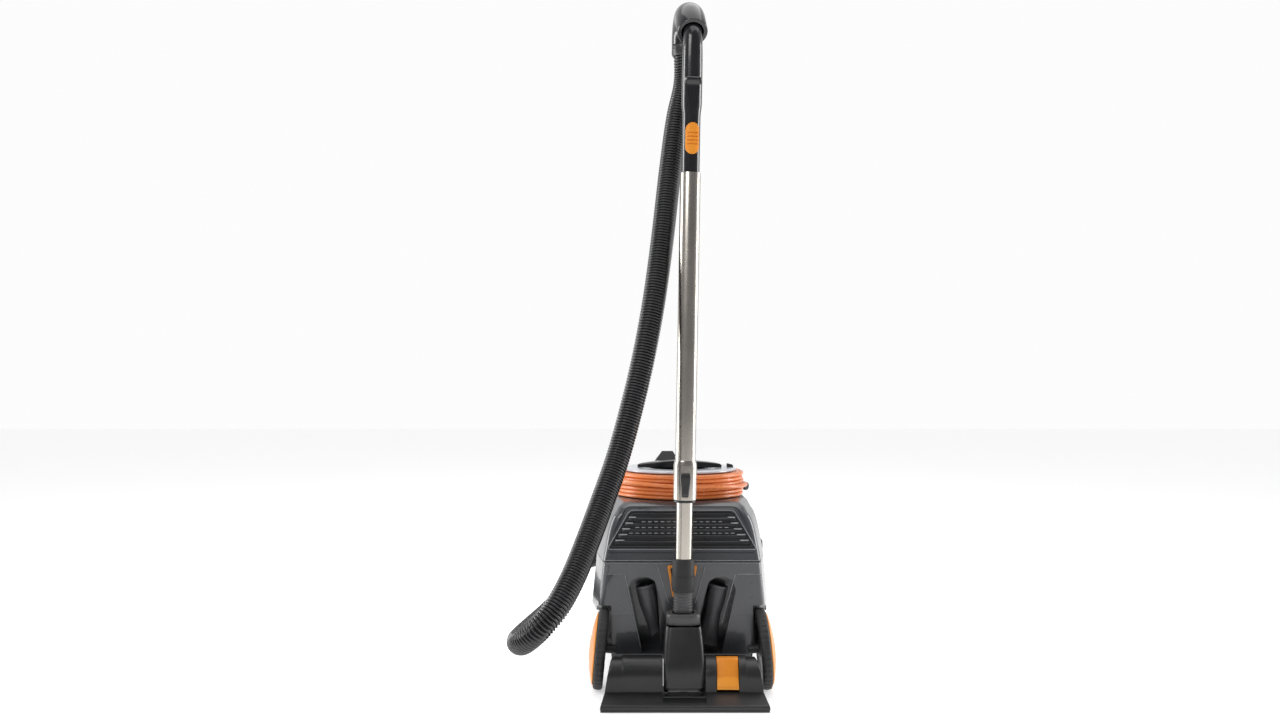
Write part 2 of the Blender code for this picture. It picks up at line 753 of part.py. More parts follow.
def make_plug(end, out):
    """A straight plug with two pins, lying along the winding."""
    along = out.normalized()
    side = along.cross(Vector((0, 0, 1))).normalized()
    rise = Vector((0, 0, 0.0055))
    rings = []
    neck = ((0, 0.0060, 0.0060), (0.010, 0.0065, 0.0065))
    head = ((0.016, 0.0105, 0.0090), (0.036, 0.0110, 0.0095))
    for s, wide, tall in neck + head:
        centre = end + along * s + rise
        corners = ((-1, -1), (1, -1), (1, 1), (-1, 1))
        rings.append([centre + side * a * wide + Vector((0, 0, 1)) * b * tall for a, b in corners])
    plug = loft("power_plug", rings, "tool_black")
    tip = end + along * 0.034 + rise
    for k, offset in enumerate((-0.0055, 0.0055)):
        place = Matrix.Translation(tip + side * offset) @ along.to_track_quat("Z", "Y").to_matrix().to_4x4()
        pin = turned(f"pin_{k}", [(0.002, 0), (0.002, 0.018)], place=place, sides=12, cutter=True)
        boolean(plug, pin, "UNION")


def add_knuckle(body, name, x, low, high):
    """Joins a hinge knuckle and its bracket, between two heights, to the tub or the lid."""
    place = Matrix.Translation((x, HINGE_Y, HINGE_Z)) @ Matrix.Rotation(math.pi / 2, 4, "Y")
    ring = ((KNUCKLE_BORE, 0), (KNUCKLE_RADIUS, 0), (KNUCKLE_RADIUS, KNUCKLE), (KNUCKLE_BORE, KNUCKLE))
    corner = (x + KNUCKLE, HINGE_Y - KNUCKLE_BORE - 0.0002, high)
    bracket = box(f"{name}_bracket", (x, NOSE - 0.002, low), corner, cutter=True)
    boolean(body, bracket, "UNION")
    boolean(body, turned_ring(f"{name}_knuckle", ring, sides=16, place=place, cutter=True), "UNION")


def make_hinge_pin():
    place = Matrix.Translation((-0.046, HINGE_Y, HINGE_Z)) @ Matrix.Rotation(math.pi / 2, 4, "Y")
    radius = KNUCKLE_BORE - GAP
    turned("hinge_pin", [(radius, 0), (radius, 0.092)], "steel", sides=12, place=place)


def make_side_latches():
    """Each latch turns about its lower end and grips the lid's edge with its upper one."""
    for side, word in ((-1, "left"), (1, "right")):
        outline = (
            (0.0030, 0.1980),
            (0.0060, 0.1980),
            (0.0050, 0.2320),
            (0.0016, 0.2380),
            (0.0006, 0.2385),
            (0.0006, 0.2220),
        )
        shape = [(side * (HALF_WIDTH + x), z) for x, z in outline]
        prism_y(f"side_latch_{word}", shape, 0.035, 0.075, "grille_dark")


# --- wheels and castors -----------------------------------------------------------------------


def tyre_profile():
    half, r = TYRE_HALF, WHEEL_RADIUS
    return (
        (RIM_RADIUS + GAP, -half),
        (r - 0.004, -half),
        (r - 0.001, -half + 0.002),
        (r, -0.003),
        (r, 0.003),
        (r - 0.001, half - 0.002),
        (r - 0.004, half),
        (RIM_RADIUS + GAP, half),
    )


def wheel_height():
    """The wheel's centre height that stands its cambered tyre on the floor."""
    return max(r * math.cos(CAMBER) - h * math.sin(CAMBER) for r, h in tyre_profile())


def wheel_place(side):
    turn = Matrix.Rotation(side * (math.pi / 2 - CAMBER), 4, "Y")
    return Matrix.Translation((side * WHEEL_X, WHEEL_Y, wheel_height())) @ turn


def axle_rod(name, side, radius, low, high, colour=None, **more):
    return turned(name, [(radius, low), (radius, high)], colour, sides=16, place=wheel_place(side), **more)


def make_rear_wheels():
    for side, word in ((-1, "left"), (1, "right")):
        place = wheel_place(side)
        turned_ring(f"tyre_{word}", tyre_profile(), "rubber_black", sides=32, place=place)
        bore = AXLE_RADIUS + RUN / 2
        hub = (
            (bore, -TYRE_HALF),
            (RIM_RADIUS, -TYRE_HALF + 0.001),
            (RIM_RADIUS, TYRE_HALF - 0.001),
            (bore, TYRE_HALF - 0.001),
        )
        turned_ring(f"wheel_hub_{word}", hub, "tool_black", sides=32, place=place)
        dome = [(CAP_DOME_RADIUS, TYRE_HALF + GAP), (CAP_DOME_RADIUS - 0.0005, TYRE_HALF + 0.0025)]
        dome += [(0.052, TYRE_HALF + 0.0065), (0.036, TYRE_HALF + 0.0095), (0.018, TYRE_HALF + 0.0112)]
        dome += [(0.004, TYRE_HALF + 0.0117)]
        turned(f"hub_cap_{word}", dome, "accent_orange", sides=32, place=place)
        axle_rod(f"axle_{word}", side, AXLE_RADIUS, -0.026, TYRE_HALF - 0.002, "steel")


def make_castors():
    for side, word in ((-1, "left"), (1, "right")):
        swivel = Vector((side * CASTOR_X, CASTOR_Y, 0))
        wheel = swivel + Vector((0, CASTOR_TRAIL, CASTOR_RADIUS))
        place = Matrix.Translation(wheel) @ Matrix.Rotation(math.pi / 2, 4, "Y")
        r, h = CASTOR_RADIUS, CASTOR_HALF
        profile = ((r - 0.002, -h), (r, -h + 0.003), (r, h - 0.003), (r - 0.002, h))
        rim = [(0.0030, -h), *profile, (0.0030, h)]
        turned_ring(f"castor_wheel_{word}", rim, "rubber_black", sides=24, place=place)
        fork = box(
            f"castor_fork_{word}",
            (-h - 0.004, -0.010, 0.0415),
            (h + 0.004, CASTOR_TRAIL + 0.006, 0.0460),
            "tool_black",
            place=Matrix.Translation(swivel),
        )
        for k, x in enumerate((-h - 0.004, h + 0.0008)):
            arm = box(
                f"fork_arm_{word}_{k}",
                (x, CASTOR_TRAIL - 0.006, CASTOR_RADIUS - 0.006),
                (x + 0.0032, CASTOR_TRAIL + 0.006, 0.0440),
                place=Matrix.Translation(swivel),
                cutter=True,
            )
            boolean(fork, arm, "UNION")
        stem_place = Matrix.Translation(swivel)
        rod = [(0.004, 0.043), (0.004, TUB_BOTTOM + WALL + GAP)]
        stem = turned(f"fork_stem_{word}", rod, place=stem_place, sides=16, cutter=True)
        boolean(fork, stem, "UNION")
        pin_place = Matrix.Translation(wheel) @ Matrix.Rotation(math.pi / 2, 4, "Y")
        pin_rod = [(0.0024, -h - 0.002), (0.0024, h + 0.002)]
        pin = turned(f"fork_pin_{word}", pin_rod, place=pin_place, sides=12, cutter=True)
        boolean(fork, pin, "UNION")


# --- accessory nozzles ------------------------------------------------------------------------


def nozzle_place(side):
    """The nozzle's own frame: Z up its axis, its top end at 0."""
    top = Vector((side * NOZZLE_X, NOZZLE_Y, NOZZLE_TOP))
    return Matrix.Translation(top) @ Matrix.Rotation(side * NOZZLE_LEAN, 4, "Y")


def make_nozzles():
    r = NOZZLE_RADIUS
    socket = [(r, 0.0, r), (r, -0.030, r), (r - 0.003, -0.045, r - 0.003)]
    crevice = [(0.011, -0.068, 0.009), (0.0085, -0.092, 0.007)]
    upholstery = [(r - 0.003, -0.070, 0.0130), (0.0150, -0.090, 0.0120), (0.0145, -0.106, 0.0105)]
    for side, name, head in ((-1, "crevice_nozzle", crevice), (1, "upholstery_nozzle", upholstery)):
        levels = socket + head
        outside = [oval_ring(a, b, h) for a, h, b in levels]
        inside = [oval_ring(a - NOZZLE_WALL, b - NOZZLE_WALL, h) for a, h, b in reversed(levels)]
        loop(name, outside + inside, "tool_black", place=nozzle_place(side))


def oval_ring(wide, deep, height):
    return [Vector((wide * math.cos(t), deep * math.sin(t), height)) for t in angles(20)]


def angles(count):
    return [2 * math.pi * k / count for k in range(count)]


# --- floor tool -------------------------------------------------------------------------------


def tool_section(x, height, shear, lean=0.0):
    """One (y, z) section of the tool's upper shell, placed at x, with its hump scaled by height."""
    low = SOLE_TOP + GAP
    outline = [
        (TOOL_FRONT, low),
        (TOOL_FRONT, 0.0105),
        (TOOL_FRONT + 0.012, 0.0135),
        (TOOL_FRONT + 0.040, 0.0135 + 0.009 * height),
    ]
    for k in range(9):
        t = math.radians(180 - 180 * k / 8)
        top = HUMP_Z + HUMP_RADIUS * math.sin(t)
        outline.append((HUMP_Y + HUMP_RADIUS * math.cos(t), 0.0135 + (top - 0.0135) * height))
    outline += [(TOOL_REAR, 0.0135), (TOOL_REAR, low)]
    return [Vector((x - shear * (y - TOOL_FRONT) - lean * (z - low), y, z)) for y, z in outline]


def make_tool_housing():
    slope = (TOOL_HALF - TOOL_REAR_HALF) / (TOOL_REAR - TOOL_FRONT)
    right = (
        (NECK_SLOT - 0.0003, 0.0, 0.0, 0.0),
        (NECK_SLOT, 1.0, 0.0, 0.0),
        (HUMP_HALF - 0.0005, 1.0, 0.0, 0.0),
        (HUMP_HALF, HUMP_STEP, 0.0, 0.0),
        (TOOL_HALF, HUMP_STEP, slope, END_LEAN),
    )
    left = [(-x, height, -shear, -lean) for x, height, shear, lean in reversed(right)]
    stations = (*left, *right)
    rings = [tool_section(*station) for station in stations]
    housing = loft("tool_housing", rings, "tool_black")
    for k, y in enumerate(BRUSH_Y):
        groove = box(
            f"brush_groove_{k}",
            (-BRUSH_HALF - RUN, y - 0.0055, 0.0),
            (BRUSH_HALF + RUN, y + 0.0055, SOLE_TOP + GAP + BRUSH_LIFT + 0.001),
            cutter=True,
        )
        boolean(housing, groove)
    boolean(housing, box("mouth", (-0.026, -0.236, -0.01), (0.026, -0.198, 0.03), cutter=True))
    pocket = [
        (-0.262, 0.0225),
        (-0.236, 0.0225),
        (-0.205, 0.050),
        (-0.205, 0.090),
        (-0.262, 0.090),
    ]
    boolean(housing, prism_x("pedal_pocket", pocket, PEDAL_X[0] - RUN, PEDAL_X[1] + RUN, cutter=True))


def make_sole_plate():
    corners = (
        (-TOOL_HALF + 0.001, TOOL_FRONT + 0.001),
        (TOOL_HALF - 0.001, TOOL_FRONT + 0.001),
        (TOOL_REAR_HALF - 0.001, TOOL_REAR - 0.001),
        (-TOOL_REAR_HALF + 0.001, TOOL_REAR - 0.001),
    )
    rings = [[Vector((x, y, z)) for x, y in corners] for z in (0.0, SOLE_TOP)]
    sole = loft("sole_plate", rings, "tool_black")
    for k, y in enumerate(BRUSH_Y):
        low, high = (-BRUSH_HALF - RUN, y - 0.0055, -0.01), (BRUSH_HALF + RUN, y + 0.0055, 0.01)
        boolean(sole, box(f"brush_slot_{k}", low, high, cutter=True))
    boolean(sole, box("suction_slot", (-0.100, -0.240, -0.01), (0.100, -0.196, 0.01), cutter=True))


def make_brush_strips():
    for word, y in zip(("front", "rear"), BRUSH_Y):
        low, high = (-BRUSH_HALF, y - 0.0045, 0.0004), (BRUSH_HALF, y + 0.0045, SOLE_TOP)
        box(f"brush_strip_{word}", low, high, "bristle")


def make_pedal():
    outline = (
        (-0.2515, 0.0270),
        (-0.2500, 0.0330),
        (-0.2440, 0.0460),
        (-0.2300, 0.0745),
        (-0.2170, 0.0755),
        (-0.2170, 0.0560),
        (-0.2380, 0.0300),
        (-0.2420, 0.0265),
    )
    prism_x("tool_pedal", outline, *PEDAL_X, "accent_orange")


def make_neck():
    barrel_place = Matrix.Translation((-0.0335, HUMP_Y, HUMP_Z)) @ Matrix.Rotation(math.pi / 2, 4, "Y")
    duct = turned("neck_duct", [(0.0290, 0), (0.0290, 0.067)], "tool_black", sides=28, place=barrel_place)
    bends = ((HUMP_Y, HUMP_Z), (-0.212, 0.080), (-0.1965, 0.112), (TUBE_Y, 0.130))
    line = [Vector((0, y, z)) for y, z in bends]
    top = Vector((0, TUBE_Y, SLEEVE[0] - RUN))
    riser_rings = sweep_rings([*line, top], [0.019, 0.018, 0.016, 0.016, 0.016], 20)
    riser = loft("neck_riser", riser_rings, cutter=True)
    boolean(duct, riser, "UNION")
    bore_line = [Vector((0, HUMP_Y, 0.005)), *line, Vector((0, TUBE_Y, 0.160))]
    bore = loft("neck_bore", sweep_rings(bore_line, [0.0130] * 6, 16), cutter=True)
    boolean(duct, bore)
    front, back = -0.2170, -0.1665
    corners = [(0.029, front, 0.016), (0.029, back, 0.016), (-0.029, back, 0.016), (-0.029, front, 0.016)]
    collar_outer = rounded(corners)
    middle, hole_radius = -0.1912, 0.0198
    directions = [(p - Vector((0, middle))).normalized() for p in collar_outer]
    hole = [(hole_radius * d.x, middle + hole_radius * d.y) for d in directions]
    low, high = 0.1258, 0.1434
    rings = [
        [Vector((p.x, p.y, low)) for p in collar_outer],
        [Vector((p.x, p.y, high - 0.004)) for p in collar_outer],
        [Vector((p.x * 0.93, -0.19 + (p.y + 0.19) * 0.93, high)) for p in collar_outer],
        [Vector((x, y, high)) for x, y in hole],
        [Vector((x, y, low)) for x, y in hole],
    ]
    loop("neck_collar", rings, "tool_black")
    make_neck_cover()


COVER = (
    (0.0290, 0.0330, -0.2500, -0.1910),
    (0.0600, 0.0338, -0.2485, -0.1860),
    (0.0850, 0.0336, -0.2400, -0.1760),
    (0.1180, 0.0305, -0.2260, -0.1670),
    (0.1252, 0.0292, -0.2220, -0.1665),
)


def cover_ring(level, inset):
    z, half, front, back = level
    half, front, back = half - inset, front + inset, back - inset
    radius = max(0.010 - inset, 0.002)
    corners = [(half, front, radius), (half, back, radius), (-half, back, radius), (-half, front, radius)]
    return [Vector((p.x, p.y, z)) for p in rounded(corners)]


def make_neck_cover():
    wall = 0.0022
    cover = loft("neck_cover", [cover_ring(level, 0.0) for level in COVER], "tool_black")
    shifted = [(0.020, *COVER[0][1:]), *COVER[1:-1], (0.1400, *COVER[-1][1:])]
    inside = loft("cover_cavity", [cover_ring(level, wall) for level in shifted], cutter=True)
    boolean(cover, inside)
    clear_place = Matrix.Translation((-0.05, HUMP_Y, HUMP_Z)) @ Matrix.Rotation(math.pi / 2, 4, "Y")
    room = [(0.0298, 0), (0.0298, 0.10)]
    boolean(cover, turned("barrel_room", room, sides=28, place=clear_place, cutter=True))


# --- wand and handle --------------------------------------------------------------------------


def wand_place():
    return Matrix.Translation((WAND_FOOT_X, TUBE_Y, 0)) @ Matrix.Rotation(WAND_LEAN, 4, "Y")


def handle_place():
    """The wand's frame turned a little, so that the handle's hook points behind and to the left."""
    return wand_place() @ Matrix.Rotation(HANDLE_YAW, 4, "Z")


def make_parked_tube(wand):
    low, high = SLEEVE
    ribs = [(SLEEVE_BORE, low), (SLEEVE_RADIUS - 0.001, low)]
    for k in range(4):
        z = low + 0.003 + k * 0.0075
        ribs += [(SLEEVE_RADIUS - 0.001, z), (SLEEVE_RADIUS, z + 0.0008), (SLEEVE_RADIUS, z + 0.0038)]
        ribs += [(SLEEVE_RADIUS - 0.001, z + 0.0046)]
    ribs += [(SLEEVE_RADIUS - 0.001, high), (SLEEVE_BORE, high)]
    turned_ring("swivel_sleeve", ribs, "tool_black", sides=16, parent=wand)
    low, high = CUFF
    cuff = (
        (INNER_RADIUS + GAP, low + 0.002),
        (SLEEVE_BORE, low + 0.002),
        (SLEEVE_BORE, low),
        (CUFF_RADIUS - 0.001, low),
        (CUFF_RADIUS, low + 0.002),
        (CUFF_RADIUS, high - 0.003),
        (CUFF_RADIUS - 0.002, high),
        (INNER_RADIUS + GAP, high),
    )
    turned_ring("rubber_cuff", cuff, "rubber_black", parent=wand)
    low, high = INNER_TUBE
    pipe(wand, "inner_tube", INNER_RADIUS, low, high)
    make_park_hook(wand)


def pipe(wand, name, radius, low, high):
    inner = radius - TUBE_WALL
    profile = ((inner, low), (radius, low), (radius, high), (inner, high))
    turned_ring(name, profile, "steel", sides=32, parent=wand)


def make_park_hook(wand):
    inner, outer = CUFF_RADIUS + GAP, CUFF_RADIUS + 0.0035
    ring = ((inner, 0.186), (outer, 0.186), (outer, 0.206), (inner, 0.206))
    hook = turned_ring("park_hook", ring, "tool_black", parent=wand)
    root = (-0.0065, outer - 0.0015, 0.186)
    tongue = box("hook_tongue", root, (0.0065, 0.056, 0.204), parent=wand, cutter=True)
    tip = box("hook_tip", (-0.0065, 0.050, 0.174), (0.0065, 0.058, 0.204), parent=wand, cutter=True)
    boolean(hook, tongue, "UNION")
    boolean(hook, tip, "UNION")


def make_telescope(wand):
    pipe(wand, "outer_tube", OUTER_RADIUS, *OUTER_TUBE)
    low, high = END_RING
    ring = ((INNER_RADIUS + GAP, low), (COLLAR_RADIUS - 0.001, low), (COLLAR_RADIUS - 0.001, high))
    turned_ring("tube_end_ring", [*ring, (INNER_RADIUS + GAP, high)], "tool_black", sides=32, parent=wand)
    low, high = COLLAR
    inner = OUTER_RADIUS + GAP
    collar = (
        (INNER_RADIUS + 2 * RUN, low),
        (COLLAR_RADIUS, low),
        (COLLAR_RADIUS, high - 0.0078),
        (inner + 0.0006, high),
        (inner, high),
        (inner, OUTER_TUBE[0] - GAP),
        (INNER_RADIUS + 2 * RUN, OUTER_TUBE[0] - GAP),
    )
    turned_ring("telescope_collar", collar, "steel", sides=32, parent=wand)
    front = -COLLAR_RADIUS - GAP
    wide, slim, out = 0.0095, 0.0065, 0.0050
    rings = []
    levels = ((0.3410, slim, 0.0015), (0.3470, slim, out), (0.3740, wide, out), (0.3820, wide, 0.0020))
    for z, half, proud in levels:
        corners = ((-half, front), (half, front), (half * 0.8, front - proud), (-half * 0.8, front - proud))
        rings.append([Vector((x, y, z)) for x, y in corners])
    loft("latch_button", rings, "tool_black", parent=wand)


def handle_path():
    """The middle line of the handle in the wand's own frame, from the spigot to inside the elbow."""
    straight = (SPIGOT_BOTTOM, 0.889, 0.895, 0.915, 0.985, 1.010, 1.050, 1.100, 1.116)
    points = [Vector((0, 0, z)) for z in straight]
    first = handle_elbow_path()[0]
    last = elbow_point(ELBOW_RISE)
    return [*points, first, first.lerp(last, 0.45), first.lerp(last, 0.9)]


def make_handle(frame):
    path = handle_path()
    r = PIPE_RADIUS
    radii = [r] * 5 + [GRIP_RADIUS] * 3 + [r + 0.001] * 4
    outer = sweep_rings(path, radii, 24)
    inner = sweep_rings(path, [r - PIPE_WALL] * len(path), 24)
    shell = loop("handle_shell", outer + list(reversed(inner)), "tool_black", parent=frame)
    lip = [(-0.0145, 1.0515), (-0.0240, 1.0490), (-0.0240, 1.0450), (-0.0145, 1.0400)]
    rings = [[Vector((x, y, z)) for y, z in lip] for x in (-0.0105, 0.0105)]
    boolean(shell, loft("grip_lip", rings, parent=frame, cutter=True), "UNION")
    make_air_slider(frame)
    make_handle_elbow(frame)


def make_air_slider(frame):
    low, high = SLIDER
    inner = PIPE_RADIUS + GAP
    outer, bottom, top = inner + 0.0022, low - 0.005, high + 0.005
    ring = ((inner, bottom), (outer, bottom), (outer, top), (inner, top))
    slider = turned_ring("air_slider", ring, "accent_orange", sides=32, parent=frame)
    half, middle = 0.0115, (low + high) / 2
    straight = (high - low) / 2 - half
    outline = []
    for centre, start in ((middle + straight, 0), (middle - straight, 180)):
        for k in range(9):
            t = math.radians(start + 22.5 * k)
            outline.append((half * math.cos(t), centre + half * math.sin(t)))
    mask = prism_y("slider_outline", outline, -0.03, -0.006, parent=frame, cutter=True)
    boolean(slider, mask, "INTERSECT")


def elbow_point(degrees):
    t = math.radians(degrees)
    return Vector((0, ELBOW_CENTRE[0] + ELBOW_ARC * math.cos(t), ELBOW_CENTRE[1] + ELBOW_ARC * math.sin(t)))


def handle_elbow_path():
    """Rises away from the grip, bends over and ends pointing straight down."""
    rise = math.radians(ELBOW_RISE)
    first = elbow_point(ELBOW_RISE) - ELBOW_STRAIGHT * Vector((0, math.sin(rise), -math.cos(rise)))
    steps = 8
    arc = [elbow_point(ELBOW_RISE * (1 - k / steps)) for k in range(steps + 1)]
    return [first, *arc, arc[-1] - Vector((0, 0, ELBOW_END))]


def make_handle_elbow(frame):
    path = handle_elbow_path()
    count = len(path)
    outer = [ELBOW_RADIUS - 0.0022 * k / (count - 1) for k in range(count)]
    inner = [PIPE_RADIUS + 4 * RUN] * count
    rings = sweep_rings(path, outer, 20) + list(reversed(sweep_rings(path, inner, 20)))
    loop("handle_elbow", rings, "tool_black", parent=frame)
    end, down = path[-1], (path[-1] - path[-2]).normalized()
    along = down.to_track_quat("Z", "Y").to_matrix().to_4x4()
    profile = (
        (0.0165, GAP),
        (0.0232, GAP),
        (0.0238, 0.003),
        (0.0238, 0.014),
        (0.0225, HANDLE_CUFF),
        (0.0165, HANDLE_CUFF),
    )
    place = Matrix.Translation(end) @ along
    turned_ring("hose_cuff_handle", profile, "tool_black", sides=28, parent=frame, place=place)


def handle_cuff_down():
    path = handle_elbow_path()
    return (handle_place().to_3x3() @ (path[-1] - path[-2])).normalized()


def handle_cuff_end():
    """Where the hose leaves its cuff on the handle."""
    end = handle_place() @ handle_elbow_path()[-1]
    return end + handle_cuff_down() * (HANDLE_CUFF + GAP)


def make_hose():
    tube_object("suction_hose", hose_route(), HOSE_RADIUS, "hose_black", 0.048, 3)


def main():
    clear_scene()
    make_materials()
    make_lower_housing()
    make_park_slot_frame()
    make_bag_and_filter()
    make_hose_inlet()
    make_hose_elbow()
    make_lid()
    make_exhaust_grille()
    make_lid_insides()
    top = make_drum_and_cap()
    make_carry_handle(top)
    make_foot_switch(top)
    make_power_cord()
    make_hinge_pin()
    make_side_latches()
    make_rear_wheels()
    make_castors()
    make_nozzles()
    make_tool_housing()
    make_sole_plate()
    make_brush_strips()
    make_pedal()
    make_neck()
    wand = guide("wand", wand_place())
    make_parked_tube(wand)
    make_telescope(wand)
    make_handle(guide("handle", handle_place()))
    make_hose()


main()
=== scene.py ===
"""The looks of a canister vacuum cleaner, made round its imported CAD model. Metres, +Z up, -Y is the rear."""

import math

import bmesh
import bpy
from mathutils import Matrix, Vector, noise


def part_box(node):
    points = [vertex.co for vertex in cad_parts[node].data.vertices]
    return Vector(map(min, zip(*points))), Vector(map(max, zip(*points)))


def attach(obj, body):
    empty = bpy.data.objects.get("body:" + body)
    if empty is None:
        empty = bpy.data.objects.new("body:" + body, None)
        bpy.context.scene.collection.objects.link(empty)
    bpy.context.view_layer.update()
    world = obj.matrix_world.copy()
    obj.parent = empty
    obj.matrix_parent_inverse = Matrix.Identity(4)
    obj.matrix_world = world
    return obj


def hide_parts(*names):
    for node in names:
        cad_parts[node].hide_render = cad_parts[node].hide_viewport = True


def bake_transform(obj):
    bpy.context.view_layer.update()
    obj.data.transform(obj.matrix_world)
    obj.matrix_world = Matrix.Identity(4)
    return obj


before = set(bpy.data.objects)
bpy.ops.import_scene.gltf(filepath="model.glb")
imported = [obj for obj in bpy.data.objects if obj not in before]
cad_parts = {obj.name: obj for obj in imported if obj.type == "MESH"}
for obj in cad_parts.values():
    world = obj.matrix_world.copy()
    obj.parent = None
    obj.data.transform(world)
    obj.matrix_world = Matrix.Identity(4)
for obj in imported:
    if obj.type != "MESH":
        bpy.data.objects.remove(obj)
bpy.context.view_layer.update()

GAP = 0.0004
WALL = 0.003

# Housing, as in the CAD model
REAR, NOSE = -0.142, 0.278
HALF_WIDTH = 0.1525
TUB_TOP = 0.2205
LID_BOTTOM = 0.2223
LID_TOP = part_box("lid")[1].z
SKIRT_BOTTOM = 0.128
WHEEL = Vector((0.1415, -0.140, 0.070))
CAMBER = math.radians(5)
WELL_RADIUS = 0.075
INLET = Vector((0.0415, NOSE, 0.150))
DRUM_Y = 0.020
TUBE_Y = -0.190
WAND_LEAN = math.radians(1.03)
WAND_FOOT_X = -0.0034
HANDLE_YAW = math.radians(6)
CASTOR_X, CASTOR_Y = 0.090, 0.180
MOTOR_Y = 0.040
GRILLE_LOW, GRILLE_HIGH = 0.2455, 0.3060
DRUM_HEIGHT = 0.0445
CAP_HEIGHT = 0.0055

# The free ends
HOSE_RADIUS = 0.020
HOSE_PITCH = 0.0050
HOSE_RIB = 0.0026
CORD_RADIUS = 0.0036


# --- studio -----------------------------------------------------------------------------------


def make_camera():
    data = bpy.data.cameras.new("camera")
    data.lens = 35
    data.sensor_width = 36
    camera = bpy.data.objects.new("camera", data)
    camera.location = (-0.0734, -2.31, 0.573)
    camera.rotation_euler = (math.pi / 2, 0, 0)
    bpy.context.scene.collection.objects.link(camera)
    bpy.context.scene.camera = camera


def area_light(name, place, target, size, power, colour=(1, 1, 1)):
    data = bpy.data.lights.new(name, "AREA")
    data.shape = "RECTANGLE"
    data.size, data.size_y = size
    data.energy = power
    data.color = colour
    lamp = bpy.data.objects.new(name, data)
    lamp.location = place
    lamp.rotation_euler = (Vector(target) - Vector(place)).to_track_quat("-Z", "Y").to_euler()
    bpy.context.scene.collection.objects.link(lamp)


def make_studio():
    """A pale floor, a room that is brightest behind the object, and four soft boxes."""
    world = bpy.data.worlds.new("studio")
    world.use_nodes = True
    bpy.context.scene.world = world
    bpy.context.scene.view_settings.view_transform = "Standard"
    tree = world.node_tree
    background = tree.nodes["Background"]
    where = tree.nodes.new("ShaderNodeTexCoord")
    split = tree.nodes.new("ShaderNodeSeparateXYZ")
    ramp = tree.nodes.new("ShaderNodeValToRGB")
    ramp.color_ramp.elements[0].position = 0.30
    ramp.color_ramp.elements[0].color = (0.26, 0.26, 0.27, 1)
    ramp.color_ramp.elements[1].position = 0.75
    ramp.color_ramp.elements[1].color = (1.0, 1.0, 1.0, 1)
    half = tree.nodes.new("ShaderNodeMapRange")
    half.inputs["From Min"].default_value = -1
    tree.links.new(where.outputs["Generated"], split.inputs[0])
    tree.links.new(split.outputs["Y"], half.inputs["Value"])
    tree.links.new(half.outputs[0], ramp.inputs[0])
    seen = tree.nodes.new("ShaderNodeLightPath")
    white = tree.nodes.new("ShaderNodeMixRGB")
    white.inputs["Color2"].default_value = (1.15, 1.15, 1.15, 1)
    tree.links.new(seen.outputs["Is Camera Ray"], white.inputs["Fac"])
    tree.links.new(ramp.outputs[0], white.inputs["Color1"])
    tree.links.new(white.outputs[0], background.inputs["Color"])
    background.inputs["Strength"].default_value = 0.85
    area_light("key", (-1.3, -1.9, 2.3), (0, 0, 0.4), (1.2, 1.2), 24)
    area_light("top", (0.2, 0.1, 2.7), (0, 0, 0.3), (2.4, 2.4), 26)
    area_light("side_left", (-2.2, 0.5, 0.8), (0, 0, 0.5), (0.7, 2.0), 34)
    area_light("side_right", (2.2, 0.4, 0.8), (0, 0, 0.5), (0.7, 2.0), 34)
    floor = mesh_of("floor", [(-8, -8, 0), (8, -8, 0), (8, 8, 0), (-8, 8, 0)], [(0, 1, 2, 3)])
    floor.location.z = -0.0003
    ground = plain("floor_white", (0.93, 0.93, 0.93), 0.7)
    glow = ground.node_tree.nodes["Principled BSDF"]
    glow.inputs["Emission Color"].default_value = (1, 1, 1, 1)
    glow.inputs["Emission Strength"].default_value = 0.42
    floor.data.materials.append(ground)


# --- materials --------------------------------------------------------------------------------


def plain(name, colour, roughness, metallic=0.0, coat=0.0):
    made = bpy.data.materials.new(name)
    made.use_nodes = True
    shader = made.node_tree.nodes["Principled BSDF"]
    shader.inputs["Base Color"].default_value = (*colour, 1)
    shader.inputs["Roughness"].default_value = roughness
    shader.inputs["Metallic"].default_value = metallic
    shader.inputs["Coat Weight"].default_value = coat
    return made


